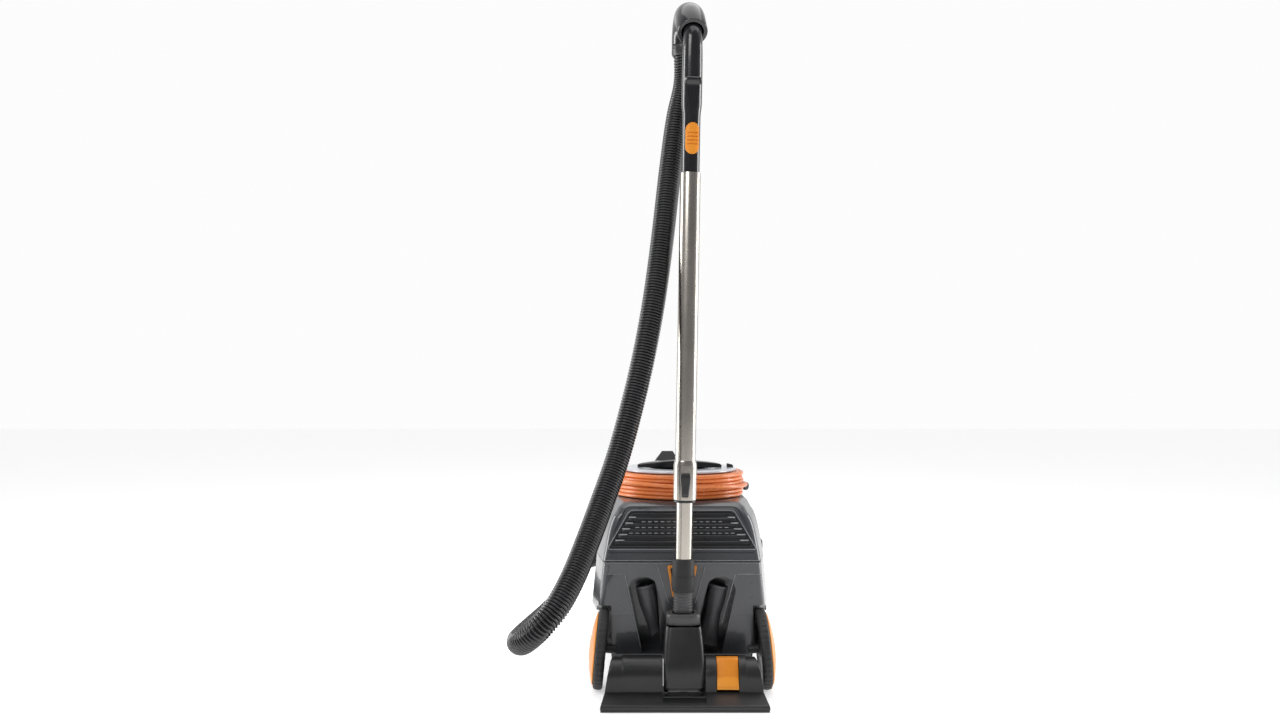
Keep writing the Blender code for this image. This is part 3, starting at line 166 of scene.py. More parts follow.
def textured(name, colour, roughness, grain=(900, 900, 900), bump=0.12, tone=0.10, uneven=0.06,
             wear_and_highlight=0.0, metallic=0.0, coat=0.0, depth=0.0002, blotch=9.0):
    """A material with a fine grain in relief, a slow change of tone and gloss, and paler edges that are partly
    wear and partly a painted edge highlight.
    """
    made = plain(name, colour, roughness, metallic, coat)
    tree = made.node_tree
    shader = tree.nodes["Principled BSDF"]
    where = tree.nodes.new("ShaderNodeTexCoord")
    stretch = tree.nodes.new("ShaderNodeMapping")
    stretch.inputs["Scale"].default_value = grain
    fine = tree.nodes.new("ShaderNodeTexNoise")
    fine.inputs["Scale"].default_value = 1.0
    fine.inputs["Detail"].default_value = 3.0
    slow = tree.nodes.new("ShaderNodeTexNoise")
    slow.inputs["Scale"].default_value = blotch
    slow.inputs["Detail"].default_value = 6.0
    slow.inputs["Roughness"].default_value = 0.65
    relief = tree.nodes.new("ShaderNodeBump")
    relief.inputs["Strength"].default_value = bump
    relief.inputs["Distance"].default_value = depth
    tree.links.new(where.outputs["Object"], stretch.inputs["Vector"])
    tree.links.new(stretch.outputs["Vector"], fine.inputs["Vector"])
    tree.links.new(where.outputs["Object"], slow.inputs["Vector"])
    tree.links.new(fine.outputs["Fac"], relief.inputs["Height"])
    tree.links.new(relief.outputs["Normal"], shader.inputs["Normal"])
    ramp = tree.nodes.new("ShaderNodeValToRGB")
    ramp.color_ramp.elements[0].position = 0.3
    ramp.color_ramp.elements[0].color = (*[c * (1 - tone) for c in colour], 1)
    ramp.color_ramp.elements[1].position = 0.7
    ramp.color_ramp.elements[1].color = (*[min(1, c * (1 + tone)) for c in colour], 1)
    tree.links.new(slow.outputs["Fac"], ramp.inputs[0])
    gloss = tree.nodes.new("ShaderNodeMapRange")
    gloss.inputs["From Min"].default_value = 0.3
    gloss.inputs["From Max"].default_value = 0.7
    gloss.inputs["To Min"].default_value = roughness - uneven
    gloss.inputs["To Max"].default_value = roughness + uneven
    tree.links.new(slow.outputs["Fac"], gloss.inputs["Value"])
    tree.links.new(gloss.outputs[0], shader.inputs["Roughness"])
    last = ramp.outputs[0]
    # Paler sharp edges: partly wear, partly a painted edge highlight
    if wear_and_highlight:
        last = add_wear_and_edge_highlight(tree, last, colour, wear_and_highlight)
    tree.links.new(last, shader.inputs["Base Color"])
    return made


def add_wear_and_edge_highlight(tree, base, colour, amount):
    """Paler on sharp edges: partly rubbed wear, partly a painted edge highlight."""
    shape = tree.nodes.new("ShaderNodeNewGeometry")
    edge = tree.nodes.new("ShaderNodeMapRange")
    edge.inputs["From Min"].default_value = 0.53
    edge.inputs["From Max"].default_value = 0.62
    edge.inputs["To Max"].default_value = amount
    mix = tree.nodes.new("ShaderNodeMixRGB")
    mix.inputs["Color2"].default_value = (*[min(1, c * 2.2 + 0.03) for c in colour], 1)
    tree.links.new(shape.outputs["Pointiness"], edge.inputs["Value"])
    tree.links.new(edge.outputs[0], mix.inputs["Fac"])
    tree.links.new(base, mix.inputs["Color1"])
    return mix.outputs[0]


def make_looks():
    return {
        "housing": textured("moulded_grey", (0.050, 0.052, 0.058), 0.30, bump=0.10, wear_and_highlight=0.12, coat=0.45),
        # edge: a paler copy of the housing grey, painted highlight lines on the beads along moulded edges and
        # seams
        "edge": textured("painted_highlight_grey", (0.20, 0.205, 0.22), 0.25, bump=0.05, coat=0.4),
        "nozzle": textured("nozzle_black", (0.048, 0.048, 0.052), 0.38, bump=0.12, wear_and_highlight=0.6, tone=0.15),
        # tips: a pale grey copy of the grille plastic, painted highlights on the louvre ends and lugs
        "tips": textured("grille_painted_highlight", (0.26, 0.265, 0.28), 0.22, bump=0.05, coat=0.4),
        "cap": textured("cap_grey", (0.56, 0.57, 0.61), 0.20, bump=0.05, coat=0.5),
        "grille": textured("grille_dark", (0.013, 0.0135, 0.015), 0.30, bump=0.08, wear_and_highlight=0.7),
        "black": textured("tool_black", (0.0155, 0.0155, 0.0165), 0.36, bump=0.14, wear_and_highlight=0.6, tone=0.15),
        "gloss_black": textured("handle_black", (0.010, 0.010, 0.012), 0.20, bump=0.04, coat=0.3, tone=0.15),
        "collar": textured("collar_grey", (0.060, 0.060, 0.062), 0.46, bump=0.16, wear_and_highlight=0.2),
        "accent": textured("accent_orange", (0.80, 0.265, 0.020), 0.33, bump=0.08, tone=0.06, wear_and_highlight=0.1),
        # accent_painted_light: a paler copy of the orange, used below the crease of the pedal as painted light
        "accent_painted_light": textured("accent_pale_painted_light", (0.92, 0.345, 0.033), 0.33, bump=0.08, tone=0.05, wear_and_highlight=0.1),
        "cord": textured("cord_orange", (0.72, 0.200, 0.052), 0.26, grain=(500, 500, 500), bump=0.15,
                         tone=0.14),
        "steel": textured("brushed_steel", (0.50, 0.465, 0.415), 0.26, grain=(2600, 2600, 18), bump=0.20,
                          tone=0.05, uneven=0.05, metallic=1.0, depth=0.0001, blotch=5.0),
        "hose": textured("hose_black", (0.0105, 0.0105, 0.0115), 0.25, grain=(300, 300, 300), bump=0.08,
                         tone=0.2),
        "rubber": textured("rubber_black", (0.0125, 0.0125, 0.0125), 0.62, grain=(700, 700, 700), bump=0.3,
                           tone=0.2),
        "tyre": textured("tyre_black", (0.017, 0.017, 0.017), 0.58, grain=(650, 650, 650), bump=0.3,
                         tone=0.25, wear_and_highlight=0.3),
        "bristle": textured("bristle_black", (0.02, 0.02, 0.02), 0.7, grain=(2500, 2500, 60), bump=0.6),
        "paper": textured("bag_paper", (0.55, 0.47, 0.34), 0.85, grain=(420, 420, 420), bump=0.5, tone=0.12),
        "filter": textured("filter_white", (0.72, 0.72, 0.68), 0.9, grain=(600, 600, 600), bump=0.8,
                           tone=0.06),
        "motor": textured("motor_metal", (0.42, 0.42, 0.43), 0.38, grain=(60, 60, 900), bump=0.2,
                          metallic=1.0),
    }


# --- mesh tools -------------------------------------------------------------------------------


def mesh_of(name, points, faces, place=None):
    mesh = bpy.data.meshes.new(name)
    mesh.from_pydata([tuple(p) for p in points], [], faces)
    shape = bmesh.new()
    shape.from_mesh(mesh)
    bmesh.ops.recalc_face_normals(shape, faces=shape.faces)
    shape.to_mesh(mesh)
    shape.free()
    if place is not None:
        mesh.transform(place)
    made = bpy.data.objects.new(name, mesh)
    bpy.context.scene.collection.objects.link(made)
    return made


def smooth(piece, angle=32):
    piece.data.shade_smooth()
    piece.data.set_sharp_from_angle(angle=math.radians(angle))
    return piece


def finish_piece(piece, look, body, slot, *nodes, angle=32):
    """Gives a piece its look, parents it to the body it rides on, and hides the CAD nodes it stands for."""
    if piece.type == "MESH":
        smooth(piece, angle)
    piece.data.materials.clear()
    piece.data.materials.append(LOOKS[look])
    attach(piece, body)
    if nodes:
        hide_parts(*nodes)
    return piece


def strips(count, size, closed):
    pairs = [(i, i + 1) for i in range(count - 1)] + ([(count - 1, 0)] if closed else [])
    return [
        (a * size + j, a * size + (j + 1) % size, b * size + (j + 1) % size, b * size + j)
        for a, b in pairs
        for j in range(size)
    ]


def loft(name, rings, place=None):
    """A solid through rings of equal size, with a flat cap at each end."""
    size = len(rings[0])
    faces = strips(len(rings), size, False)
    faces += [tuple(range(size)), tuple(range((len(rings) - 1) * size, len(rings) * size))]
    return mesh_of(name, [p for ring in rings for p in ring], faces, place)


def loop(name, rings, place=None):
    """A hollow ring-shaped solid: the last ring joins the first."""
    size = len(rings[0])
    return mesh_of(name, [p for ring in rings for p in ring], strips(len(rings), size, True), place)


def circle(radius, height, sides=64):
    turns = [2 * math.pi * k / sides for k in range(sides)]
    return [Vector((radius * math.cos(t), radius * math.sin(t), height)) for t in turns]


def turned(name, profile, place=None, sides=64):
    return loft(name, [circle(r, h, sides) for r, h in profile], place)


def turned_ring(name, profile, place=None, sides=64):
    return loop(name, [circle(r, h, sides) for r, h in profile], place)


def rounded(corners, steps=4):
    """A closed outline with an arc at each (x, y, radius) corner."""
    outline = []
    for i, (x, y, radius) in enumerate(corners):
        here = Vector((x, y))
        if radius <= 0:
            outline.append(here)
            continue
        before = (Vector(corners[i - 1][:2]) - here).normalized()
        after = (Vector(corners[(i + 1) % len(corners)][:2]) - here).normalized()
        opening = before.angle(after)
        centre = here + (before + after).normalized() * radius / math.sin(opening / 2)
        start = here + before * radius / math.tan(opening / 2) - centre
        end = here + after * radius / math.tan(opening / 2) - centre
        sweep = math.pi - opening
        for k in range(steps + 1):
            t = k / steps
            arc = (start * math.sin((1 - t) * sweep) + end * math.sin(t * sweep)) / math.sin(sweep)
            outline.append(centre + arc)
    return outline


def eased(corners, radius, steps=3):
    """The corners of a profile, all rounded by one radius."""
    return [(p.x, p.y) for p in rounded([(x, y, radius) for x, y in corners], steps)]


def box(name, low, high, place=None):
    rings = [
        [Vector((low[0], low[1], z)), Vector((high[0], low[1], z)), Vector((high[0], high[1], z)),
         Vector((low[0], high[1], z))]
        for z in (low[2], high[2])
    ]
    return loft(name, rings, place)


def prism_x(name, outline, low, high, place=None):
    return loft(name, [[Vector((x, y, z)) for y, z in outline] for x in (low, high)], place)


def prism_y(name, outline, low, high, place=None):
    return loft(name, [[Vector((x, y, z)) for x, z in outline] for y in (low, high)], place)


def carve(piece, *cutters, operation="DIFFERENCE"):
    """Cuts the cutters from the piece, or joins them to it, and removes them."""
    for cutter in cutters:
        made = piece.modifiers.new("cut", "BOOLEAN")
        made.operation = operation
        made.object = cutter
    settle(piece)
    for cutter in cutters:
        bpy.data.objects.remove(cutter, do_unlink=True)
    return piece


def settle(piece):
    """Applies the piece's modifiers."""
    graph = bpy.context.evaluated_depsgraph_get()
    mesh = bpy.data.meshes.new_from_object(piece.evaluated_get(graph))
    piece.modifiers.clear()
    piece.data = mesh
    return piece


def soften(piece, width, segments=3, angle=35):
    """Rounds every edge sharper than the angle."""
    bevel = piece.modifiers.new("edges", "BEVEL")
    bevel.width = width
    bevel.segments = segments
    bevel.limit_method = "ANGLE"
    bevel.angle_limit = math.radians(angle)
    return settle(piece)


def curve_through(route, step):
    """Points every step along a smooth curve through the route."""
    ends = [2 * route[0] - route[1], *route, 2 * route[-1] - route[-2]]
    dense = []
    for a, b, c, d in zip(ends, ends[1:], ends[2:], ends[3:]):
        for k in range(24):
            t = k / 24
            dense.append(
                0.5 * (
                    2 * b + (c - a) * t + (2 * a - 5 * b + 4 * c - d) * t**2 + (3 * b - a - 3 * c + d) * t**3
                )
            )
    dense.append(route[-1])
    total = sum((q - p).length for p, q in zip(dense, dense[1:]))
    count = max(2, round(total / step))
    points, walked, target = [dense[0]], 0.0, total / count
    for p, q in zip(dense, dense[1:]):
        span = (q - p).length
        while walked + span >= target - 1e-9 and len(points) < count:
            points.append(p.lerp(q, (target - walked) / span))
            target += total / count
        walked += span
    points.append(dense[-1])
    return points


def smooth_levels(levels, steps):
    """More rows between the rows of a table, along a smooth curve."""
    rows = [list(row) for row in levels]
    ends = [rows[0], *rows, rows[-1]]
    dense = []
    for a, b, c, d in zip(ends, ends[1:], ends[2:], ends[3:]):
        for k in range(steps):
            t = k / steps
            dense.append([
                q + 0.5 * t * (r - p + t * (2 * p - 5 * q + 4 * r - s + t * (3 * (q - r) + s - p)))
                for p, q, r, s in zip(a, b, c, d)
            ])
    return [*dense, rows[-1]]


def tube_rings(path, radii, sides):
    """Circles square to a path, turned as little as they can be from one to the next."""
    ahead = (path[1] - path[0]).normalized()
    side = ahead.orthogonal().normalized()
    rings = []
    for i, centre in enumerate(path):
        following = (path[min(i + 1, len(path) - 1)] - path[max(i - 1, 0)]).normalized()
        side = (ahead.rotation_difference(following) @ side).normalized()
        ahead = following
        up = ahead.cross(side)
        turns = [2 * math.pi * k / sides for k in range(sides)]
        rings.append([centre + radii[i] * (side * math.cos(t) + up * math.sin(t)) for t in turns])
    return rings


# --- the hose and the mains cord --------------------------------------------------------------


def wand_place():
    return Matrix.Translation((WAND_FOOT_X, TUBE_Y, 0)) @ Matrix.Rotation(WAND_LEAN, 4, "Y")


def handle_place():
    return wand_place() @ Matrix.Rotation(HANDLE_YAW, 4, "Z")


ELBOW_TURN = math.radians(60)
ELBOW_BEND = 0.075
MACHINE_CUFF = 0.045
HANDLE_CUFF = 0.020
ELBOW_CENTRE = (0.0600, 1.1360)
ELBOW_ARC = 0.0360
ELBOW_RISE = 134
ELBOW_STRAIGHT = 0.0420
ELBOW_END = 0.0040


def inlet_elbow_path(steps=12):
    start = INLET - Vector((0, 0.030, 0))
    bend = INLET + Vector((0, 0.0125, 0))
    centre = bend - Vector((ELBOW_BEND, 0, 0))
    points = [start, bend]
    for k in range(1, steps + 1):
        t = ELBOW_TURN * k / steps
        points.append(centre + ELBOW_BEND * Vector((math.cos(t), math.sin(t), 0)))
    return points


def inlet_elbow_out():
    return Vector((-math.sin(ELBOW_TURN), math.cos(ELBOW_TURN), 0))


def elbow_point(degrees):
    t = math.radians(degrees)
    return Vector((0, ELBOW_CENTRE[0] + ELBOW_ARC * math.cos(t), ELBOW_CENTRE[1] + ELBOW_ARC * math.sin(t)))


def handle_elbow_path(steps=16):
    rise = math.radians(ELBOW_RISE)
    first = elbow_point(ELBOW_RISE) - ELBOW_STRAIGHT * Vector((0, math.sin(rise), -math.cos(rise)))
    arc = [elbow_point(ELBOW_RISE * (1 - k / steps)) for k in range(steps + 1)]
    return [first, *arc, arc[-1] - Vector((0, 0, ELBOW_END))]


def handle_cuff_down():
    path = handle_elbow_path()
    return (handle_place().to_3x3() @ (path[-1] - path[-2])).normalized()


def hose_route():
    """From the machine's cuff round the left side, up to the handle's cuff, as in the CAD model."""
    out = inlet_elbow_out()
    start = inlet_elbow_path()[-1] + out * (MACHINE_CUFF + 2 * GAP)
    down = handle_cuff_down()
    end = handle_place() @ handle_elbow_path()[-1] + down * (HANDLE_CUFF + GAP)
    between = (
        (-0.096, 0.402, 0.150), (-0.139, 0.397, 0.149), (-0.176, 0.373, 0.147), (-0.199, 0.337, 0.145),
        (-0.206, 0.297, 0.142), (-0.208, 0.240, 0.139), (-0.209, 0.180, 0.135), (-0.213, 0.090, 0.130),
        (-0.222, 0.000, 0.126), (-0.236, -0.100, 0.124), (-0.251, -0.200, 0.1235), (-0.261, -0.290, 0.126),
        (-0.263, -0.355, 0.131), (-0.251, -0.403, 0.142), (-0.227, -0.427, 0.166), (-0.200, -0.420, 0.197),
        (-0.176, -0.388, 0.239), (-0.155, -0.345, 0.289), (-0.133, -0.300, 0.347), (-0.110, -0.263, 0.412),
        (-0.087, -0.234, 0.495), (-0.067, -0.212, 0.580), (-0.0495, -0.189, 0.675), (-0.0350, -0.162, 0.780),
        (-0.0205, -0.131, 0.905), (-0.0080, -0.109, 0.997),
    )
    return [start, start + out * 0.022, *[Vector(p) for p in between], end + down * 0.050, end]


def make_hose():
    """Corrugated rings on the route, with rounded crests and narrow valleys: five points to each ring."""
    waves = (0.0, 0.55, 1.0, 1.0, 0.55)
    path = curve_through(hose_route(), HOSE_PITCH / len(waves))
    valley = HOSE_RADIUS - HOSE_RIB
    radii = [valley + HOSE_RIB * waves[i % len(waves)] for i in range(len(path))]
    hose = loft("hose_corrugated", tube_rings(path, radii, 36))
    hose.data.materials.append(LOOKS["hose"])
    smooth(hose, 60)
    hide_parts("suction_hose")
    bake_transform(hose)
    length = sum((q - p).length for p, q in zip(path, path[1:]))
    cuffs = make_hose_fittings()
    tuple(path[0])


def make_hose_fittings():
    out = inlet_elbow_out()
    start = inlet_elbow_path()[-1] + out * GAP
    place = Matrix.Translation(start) @ out.to_track_quat("Z", "Y").to_matrix().to_4x4()
    machine = grip_ring("cuff_machine", 0.0245, 0.0190, MACHINE_CUFF, place)
    finish_piece(machine, "black", "machine_cuff_body", "black_plastic", "hose_cuff_machine")
    down = handle_elbow_path()[-1]
    turn = Matrix.Rotation(math.pi, 4, "X")
    handle = grip_ring("cuff_handle", 0.0238, 0.0165, HANDLE_CUFF,
                       handle_place() @ Matrix.Translation(down) @ turn)
    finish_piece(handle, "black", "handle_cuff_body", "black_plastic", "hose_cuff_handle")
    return [machine, handle]


def grip_ring(name, outer, inner, length, place):
    """A cuff with shallow finger ribs and a tapered mouth."""
    profile = [(outer - 0.001, GAP), (outer, 0.003)]
    ribs = max(1, int((length - 0.014) / 0.005))
    for k in range(ribs):
        h = 0.005 + k * 0.005
        profile += [(outer, h), (outer - 0.0007, h + 0.0007), (outer - 0.0007, h + 0.0023),
                    (outer, h + 0.003)]
    profile += [(outer - 0.0002, length - 0.005), (outer - 0.0015, length - 0.0012), (outer - 0.0024, length)]
    profile += [(HOSE_RADIUS - 0.0020, length), (inner, length - 0.002), (inner, GAP)]
    return turned_ring(name, profile, place)


def coil_path():
    """Rows of three turns, wound inwards and outwards by turns, from the lead to the plug's tail."""
    coil_low, coil_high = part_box("power_cord_coil")
    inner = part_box("cord_drum")[1].x + GAP + CORD_RADIUS + 0.0002
    outer = coil_high.x - CORD_RADIUS - 0.0002
    low, high = coil_low.z + CORD_RADIUS + 0.0001, coil_high.z - CORD_RADIUS - 0.0001
    rows, across, per_turn = 6, 3, 48
    radial, rise = (outer - inner) / (across - 1), (high - low) / (rows - 1)

    def at(turns, radius, height):
        t = 2 * math.pi * turns
        return Vector((radius * math.cos(t), DRUM_Y + radius * math.sin(t), height))

    start = 70 / 360
    total = rows * across - 33 / 360
    points = []
    for k in range(int(total * per_turn) + 1):
        turn = k / per_turn
        row = min(int(turn // across), rows - 1)
        inside = turn - row * across
        whole = int(inside)
        step = whole + ease(max(0.0, (inside - whole - 0.72) / 0.28))
        climb = 0.0
        if step > across - 1:
            climb, step = step - (across - 1), across - 1
        share = step if row % 2 == 0 else across - 1 - step
        if row == rows - 1:
            climb = 0.0
        sway = 0.00035 * math.sin(2 * math.pi * (turn * 1.37 + 0.2)) * (1 if share < 0.2 else 0)
        points.append(at(start + turn, outer - share * radial + sway, low + (row + climb) * rise))
    return points, at, outer, high, start + total


def ease(t):
    t = min(1.0, max(0.0, t))
    return t * t * (3 - 2 * t)


def make_power_cord():
    """The lead from its gland, the winding on the drum, and the tail that ends in the plug."""
    coil, at, outer, high, last = coil_path()
    lead_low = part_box("power_cord_lead")[0].z + CORD_RADIUS
    coil_low = coil[0].z
    near = outer + 2 * CORD_RADIUS + 0.0012
    lead = []
    for k in range(6):
        drop = (coil_low - lead_low) * ease((k - 2) / 5)
        lead.append(at((34 + 5 * k) / 360, near + 0.010 * (1 - k / 6) ** 2, lead_low + drop))
    plug_low, plug_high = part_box("power_plug")
    plug_height = (plug_low.z + plug_high.z) / 2
    tail_turns = (456 / 360 - (last % 1)) % 1 + 1
    tail = []
    for k in range(1, 61):
        share = k / 60
        radius = outer + (2 * CORD_RADIUS + 0.0006) * ease(share * 14)
        radius += (near + 0.0052 - radius) * ease((share - 0.93) / 0.07)
        fall = plug_height + 0.0066 - high
        height = high + fall * ease(share / 0.94) - 0.0066 * ease((share - 0.94) / 0.06)
        tail.append(at(last + tail_turns * share, radius, height))
    route = [*lead, *coil, *tail]
    curve = bpy.data.curves.new("mains_cord", "CURVE")
    curve.dimensions = "3D"
    curve.bevel_depth = CORD_RADIUS
    curve.bevel_resolution = 4
    curve.use_fill_caps = True
    spline = curve.splines.new("POLY")
    spline.points.add(len(route) - 1)
    for target, point in zip(spline.points, route):
        target.co = (*point, 1)
    cord = bpy.data.objects.new("mains_cord", curve)
    bpy.context.scene.collection.objects.link(cord)
    finish_piece(cord, "cord", "lid_body", "cord", "power_cord_coil", "power_cord_lead")
    length = sum((q - p).length for p, q in zip(route, route[1:]))
    gland = make_gland(lead[0], (lead[0] - lead[1]).normalized())
    plug = make_plug(route[-1], (route[-1] - route[-2]).normalized())
    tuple(route[0])


def make_gland(end, out):
    profile = [(CORD_RADIUS + 0.0004, GAP), (CORD_RADIUS + 0.0016, 0.0012)]
    for k in range(5):
        h, r = 0.003 + 0.0034 * k, 0.0056 + 0.0004 * k
        profile += [(r, h), (r, h + 0.0016), (r - 0.0008, h + 0.0019), (r - 0.0008, h + 0.0031)]
    profile += [(0.0078, 0.0205), (0.0078, 0.0252), (0.0068, 0.026)]
    place = Matrix.Translation(end) @ out.to_track_quat("Z", "Y").to_matrix().to_4x4()
    return finish_piece(turned("strain_relief", profile, place, 32), "rubber", "lid_body", "rubber",
                        "cord_gland")


def make_plug(end, along):
    """A moulded plug with a tapered neck and two steel pins."""
    side = along.cross(Vector((0, 0, 1))).normalized()
    up = side.cross(along)
    rings = []
    stations = ((0, 0.0046, 0.0046), (0.002, 0.0058, 0.0058), (0.010, 0.0064, 0.0062),
                (0.0135, 0.0080, 0.0072), (0.0165, 0.0104, 0.0088), (0.028, 0.0108, 0.0092),
                (0.035, 0.0110, 0.0093), (0.036, 0.0102, 0.0086))
    for s, wide, tall in stations:
        corners = [(-wide, -tall, tall * 0.45), (wide, -tall, tall * 0.45), (wide, tall, tall * 0.45),
                   (-wide, tall, tall * 0.45)]
        rings.append([end + along * s + side * p.x + up * p.y for p in rounded(corners, 4)])
    plug = loft("plug_body", rings)
    turn = along.to_track_quat("Z", "Y").to_matrix().to_4x4()
    pins = []
    for offset in (-0.0055, 0.0055):
        place = Matrix.Translation(end + along * 0.034 + side * offset) @ turn
        pins.append(turned("pin", [(0.002, 0), (0.002, 0.0165), (0.0013, 0.0178)], place, 20))
    carve(plug, *pins, operation="UNION")
    finish_piece(plug, "black", "lid_body", "black_plastic", "power_plug")
    plug.data.materials.append(LOOKS["steel"])
    for face in plug.data.polygons:
        if (face.center - end).dot(along) > 0.0362:
            face.material_index = 1
    return plug


# --- housing ----------------------------------------------------------------------------------


def plan(z, half, rear, nose, inset=0.0, steps=8):
    """The housing's outline at one height: narrower at the rear and at the nose."""
    half, rear, nose = half - inset, rear + inset, nose - inset
    right = [(half - 0.0155, rear, 0.014), (half, rear + 0.115, 0.060), (half - 0.003, nose - 0.130, 0.070),
             (half - 0.060, nose, 0.035)]
    left = [(-x, y, r) for x, y, r in reversed(right)]
    return [Vector((p.x, p.y, z)) for p in rounded(right + left, steps)]


FLARED = HALF_WIDTH + 0.0088
TUB = (
    (0.050, HALF_WIDTH - 0.014, REAR + 0.012, NOSE - 0.012),
    (0.060, HALF_WIDTH - 0.006, REAR + 0.005, NOSE - 0.004),
    (0.110, HALF_WIDTH - 0.002, REAR + 0.002, NOSE - 0.001),
    (SKIRT_BOTTOM - 0.0008, HALF_WIDTH - 0.002, REAR + 0.002, NOSE - 0.001),
    (SKIRT_BOTTOM, FLARED - 0.001, REAR + 0.0018, NOSE - 0.001),
    (SKIRT_BOTTOM + 0.002, FLARED, REAR + 0.0018, NOSE - 0.001),
    (TUB_TOP - 0.0012, HALF_WIDTH, REAR, NOSE),
    (TUB_TOP, HALF_WIDTH - 0.0010, REAR + 0.0010, NOSE - 0.0010),
)
TUB_INSIDE = (
    (0.053, *TUB[0][1:]), *TUB[1:3], (SKIRT_BOTTOM + 0.006, *TUB[2][1:]), (TUB_TOP, HALF_WIDTH, REAR, NOSE),
    (TUB_TOP + 0.02, HALF_WIDTH, REAR, NOSE),
)
LID = (
    (LID_BOTTOM, HALF_WIDTH, REAR, NOSE),
    (0.250, HALF_WIDTH - 0.005, REAR + 0.0035, NOSE - 0.004),
    (0.276, HALF_WIDTH - 0.010, REAR + 0.008, NOSE - 0.013),
    (0.295, HALF_WIDTH - 0.016, REAR + 0.012, NOSE - 0.024),
    (0.304, HALF_WIDTH - 0.022, REAR + 0.015, NOSE - 0.034),
    (0.314, HALF_WIDTH - 0.027, REAR + 0.022, NOSE - 0.046),
    (LID_TOP - 0.002, HALF_WIDTH - 0.0345, REAR + 0.032, NOSE - 0.058),
    (LID_TOP, HALF_WIDTH - 0.041, REAR + 0.040, NOSE - 0.066),
)


def bay_outline(side, grow=0.0):
    corners = [
        (0.094 + grow, 0.172, 0.004), (0.088 + grow, 0.188 + grow, 0.010), (0.076, 0.194 + grow, 0.012),
        (0.060, 0.194 + grow, 0.012), (0.048 - grow, 0.188 + grow, 0.008), (0.044 - grow, 0.178, 0.004),
        (0.012 - grow, 0.060 - grow, 0.003), (0.069 + grow, 0.060 - grow, 0.003),
    ]
    return [(side * p.x, p.y) for p in rounded(corners, 5)]


def wheel_well(side, radius, inner_x, outer_x, top=1.0):
    turns = [2 * math.pi * k / 96 for k in range(96)]
    outline = [(WHEEL.y + radius * math.cos(t), min(WHEEL.z + radius * math.sin(t), top)) for t in turns]
    return prism_x("well", outline, *sorted((side * inner_x, side * outer_x)))


def make_tub():
    """The lower half: its walls, bays for the nozzles, wheel wells, park slot and the hose inlet's hole."""
    tub = loft("tub", [plan(*level) for level in TUB])
    cavity = loft("cavity", [plan(*level, inset=WALL) for level in TUB_INSIDE])
    liners, cuts = [], []
    for side in (-1, 1):
        liners.append(prism_y("liner", bay_outline(side, WALL), REAR - 0.02, REAR + 0.044 + WALL))
        liners.append(wheel_well(side, WELL_RADIUS + WALL, 0.1205, HALF_WIDTH + 0.03))
        cuts.append(prism_y("bay", bay_outline(side), REAR - 0.03, REAR + 0.044))
        cuts.append(prism_y("bay_lip", bay_outline(side, 0.0016), REAR - 0.03, REAR + 0.0022))
        cuts.append(wheel_well(side, WELL_RADIUS, 0.1235, 0.150))
        cuts.append(wheel_well(side, WELL_RADIUS, 0.1235, HALF_WIDTH + 0.03, SKIRT_BOTTOM + 0.0002))
        step = [(0.200, 0.1995), (0.0975, 0.1995), (0.0700, 0.0690), (0.0680, 0.040), (0.200, 0.040)]
        cuts.append(prism_y("side_step", [(side * x, z) for x, z in step], REAR - 0.02, REAR + 0.0014))
        place = Matrix.Translation((side * CASTOR_X, CASTOR_Y, 0.040))
        cuts.append(turned("castor_hole", [(0.0045, 0), (0.0045, 0.03)], place, 32))
    v_panel = [(-0.0425, 0.2130), (0.0400, 0.2130), (0.0225, 0.1500), (-0.0235, 0.1500)]
    cuts.append(prism_y("v_panel", v_panel, REAR - 0.02, REAR + 0.0012))
    cuts.append(box("park_slot", (-0.0115, REAR - 0.01, 0.168), (0.0115, REAR + 0.020, 0.208)))
    place = Matrix.Translation(INLET) @ Matrix.Rotation(-math.pi / 2, 4, "X")
    cuts.append(turned("inlet_hole", [(0.0274, -0.03), (0.0274, 0.03)], place))
    carve(cavity, *liners)
    carve(tub, cavity, *cuts)
    add_knuckles(tub, (-0.045, 0.027), TUB_TOP - 0.0065, TUB_TOP - 0.0005)
    finish_piece(tub, "housing", "root", "housing", "lower_housing", angle=28)
    # Beads in the painted highlight grey along the rear panel edges and the seam
    y = REAR + 0.0003
    lines = [
        [(-0.1360, 0.2000), (-0.0995, 0.2000), (-0.0720, 0.0720)], [(0.0927, 0.2000), (0.0695, 0.1150)],
        [(0.0960, 0.2000), (0.1360, 0.2000)], [(-0.0425, 0.2130), (-0.0235, 0.1500)],
        [(0.0400, 0.2130), (0.0225, 0.1500)],
    ]
    beads = [[Vector((px, y, pz)) for px, pz in line] for line in lines]
    beads.append([Vector((px, REAR + 0.0004, TUB_TOP - 0.0010)) for px in (-0.1355, 0.1355)])
    bead_lines("tub_beads", "root", beads, 0.0008)


def add_knuckles(body, places, low, high):
    hinge = Vector((0, NOSE + 0.0075, TUB_TOP + 0.001))
    added = []
    for x in places:
        place = Matrix.Translation((x, hinge.y, hinge.z)) @ Matrix.Rotation(math.pi / 2, 4, "Y")
        added.append(box("bracket", (x, NOSE - 0.002, low), (x + 0.018, hinge.y - 0.0026, high)))
        ring = ((0.0024, 0), (0.0039, 0), (0.0045, 0.0006), (0.0045, 0.0174), (0.0039, 0.018),
                (0.0024, 0.018))
        added.append(turned_ring("knuckle", ring, place, 40))
    carve(body, *added, operation="UNION")


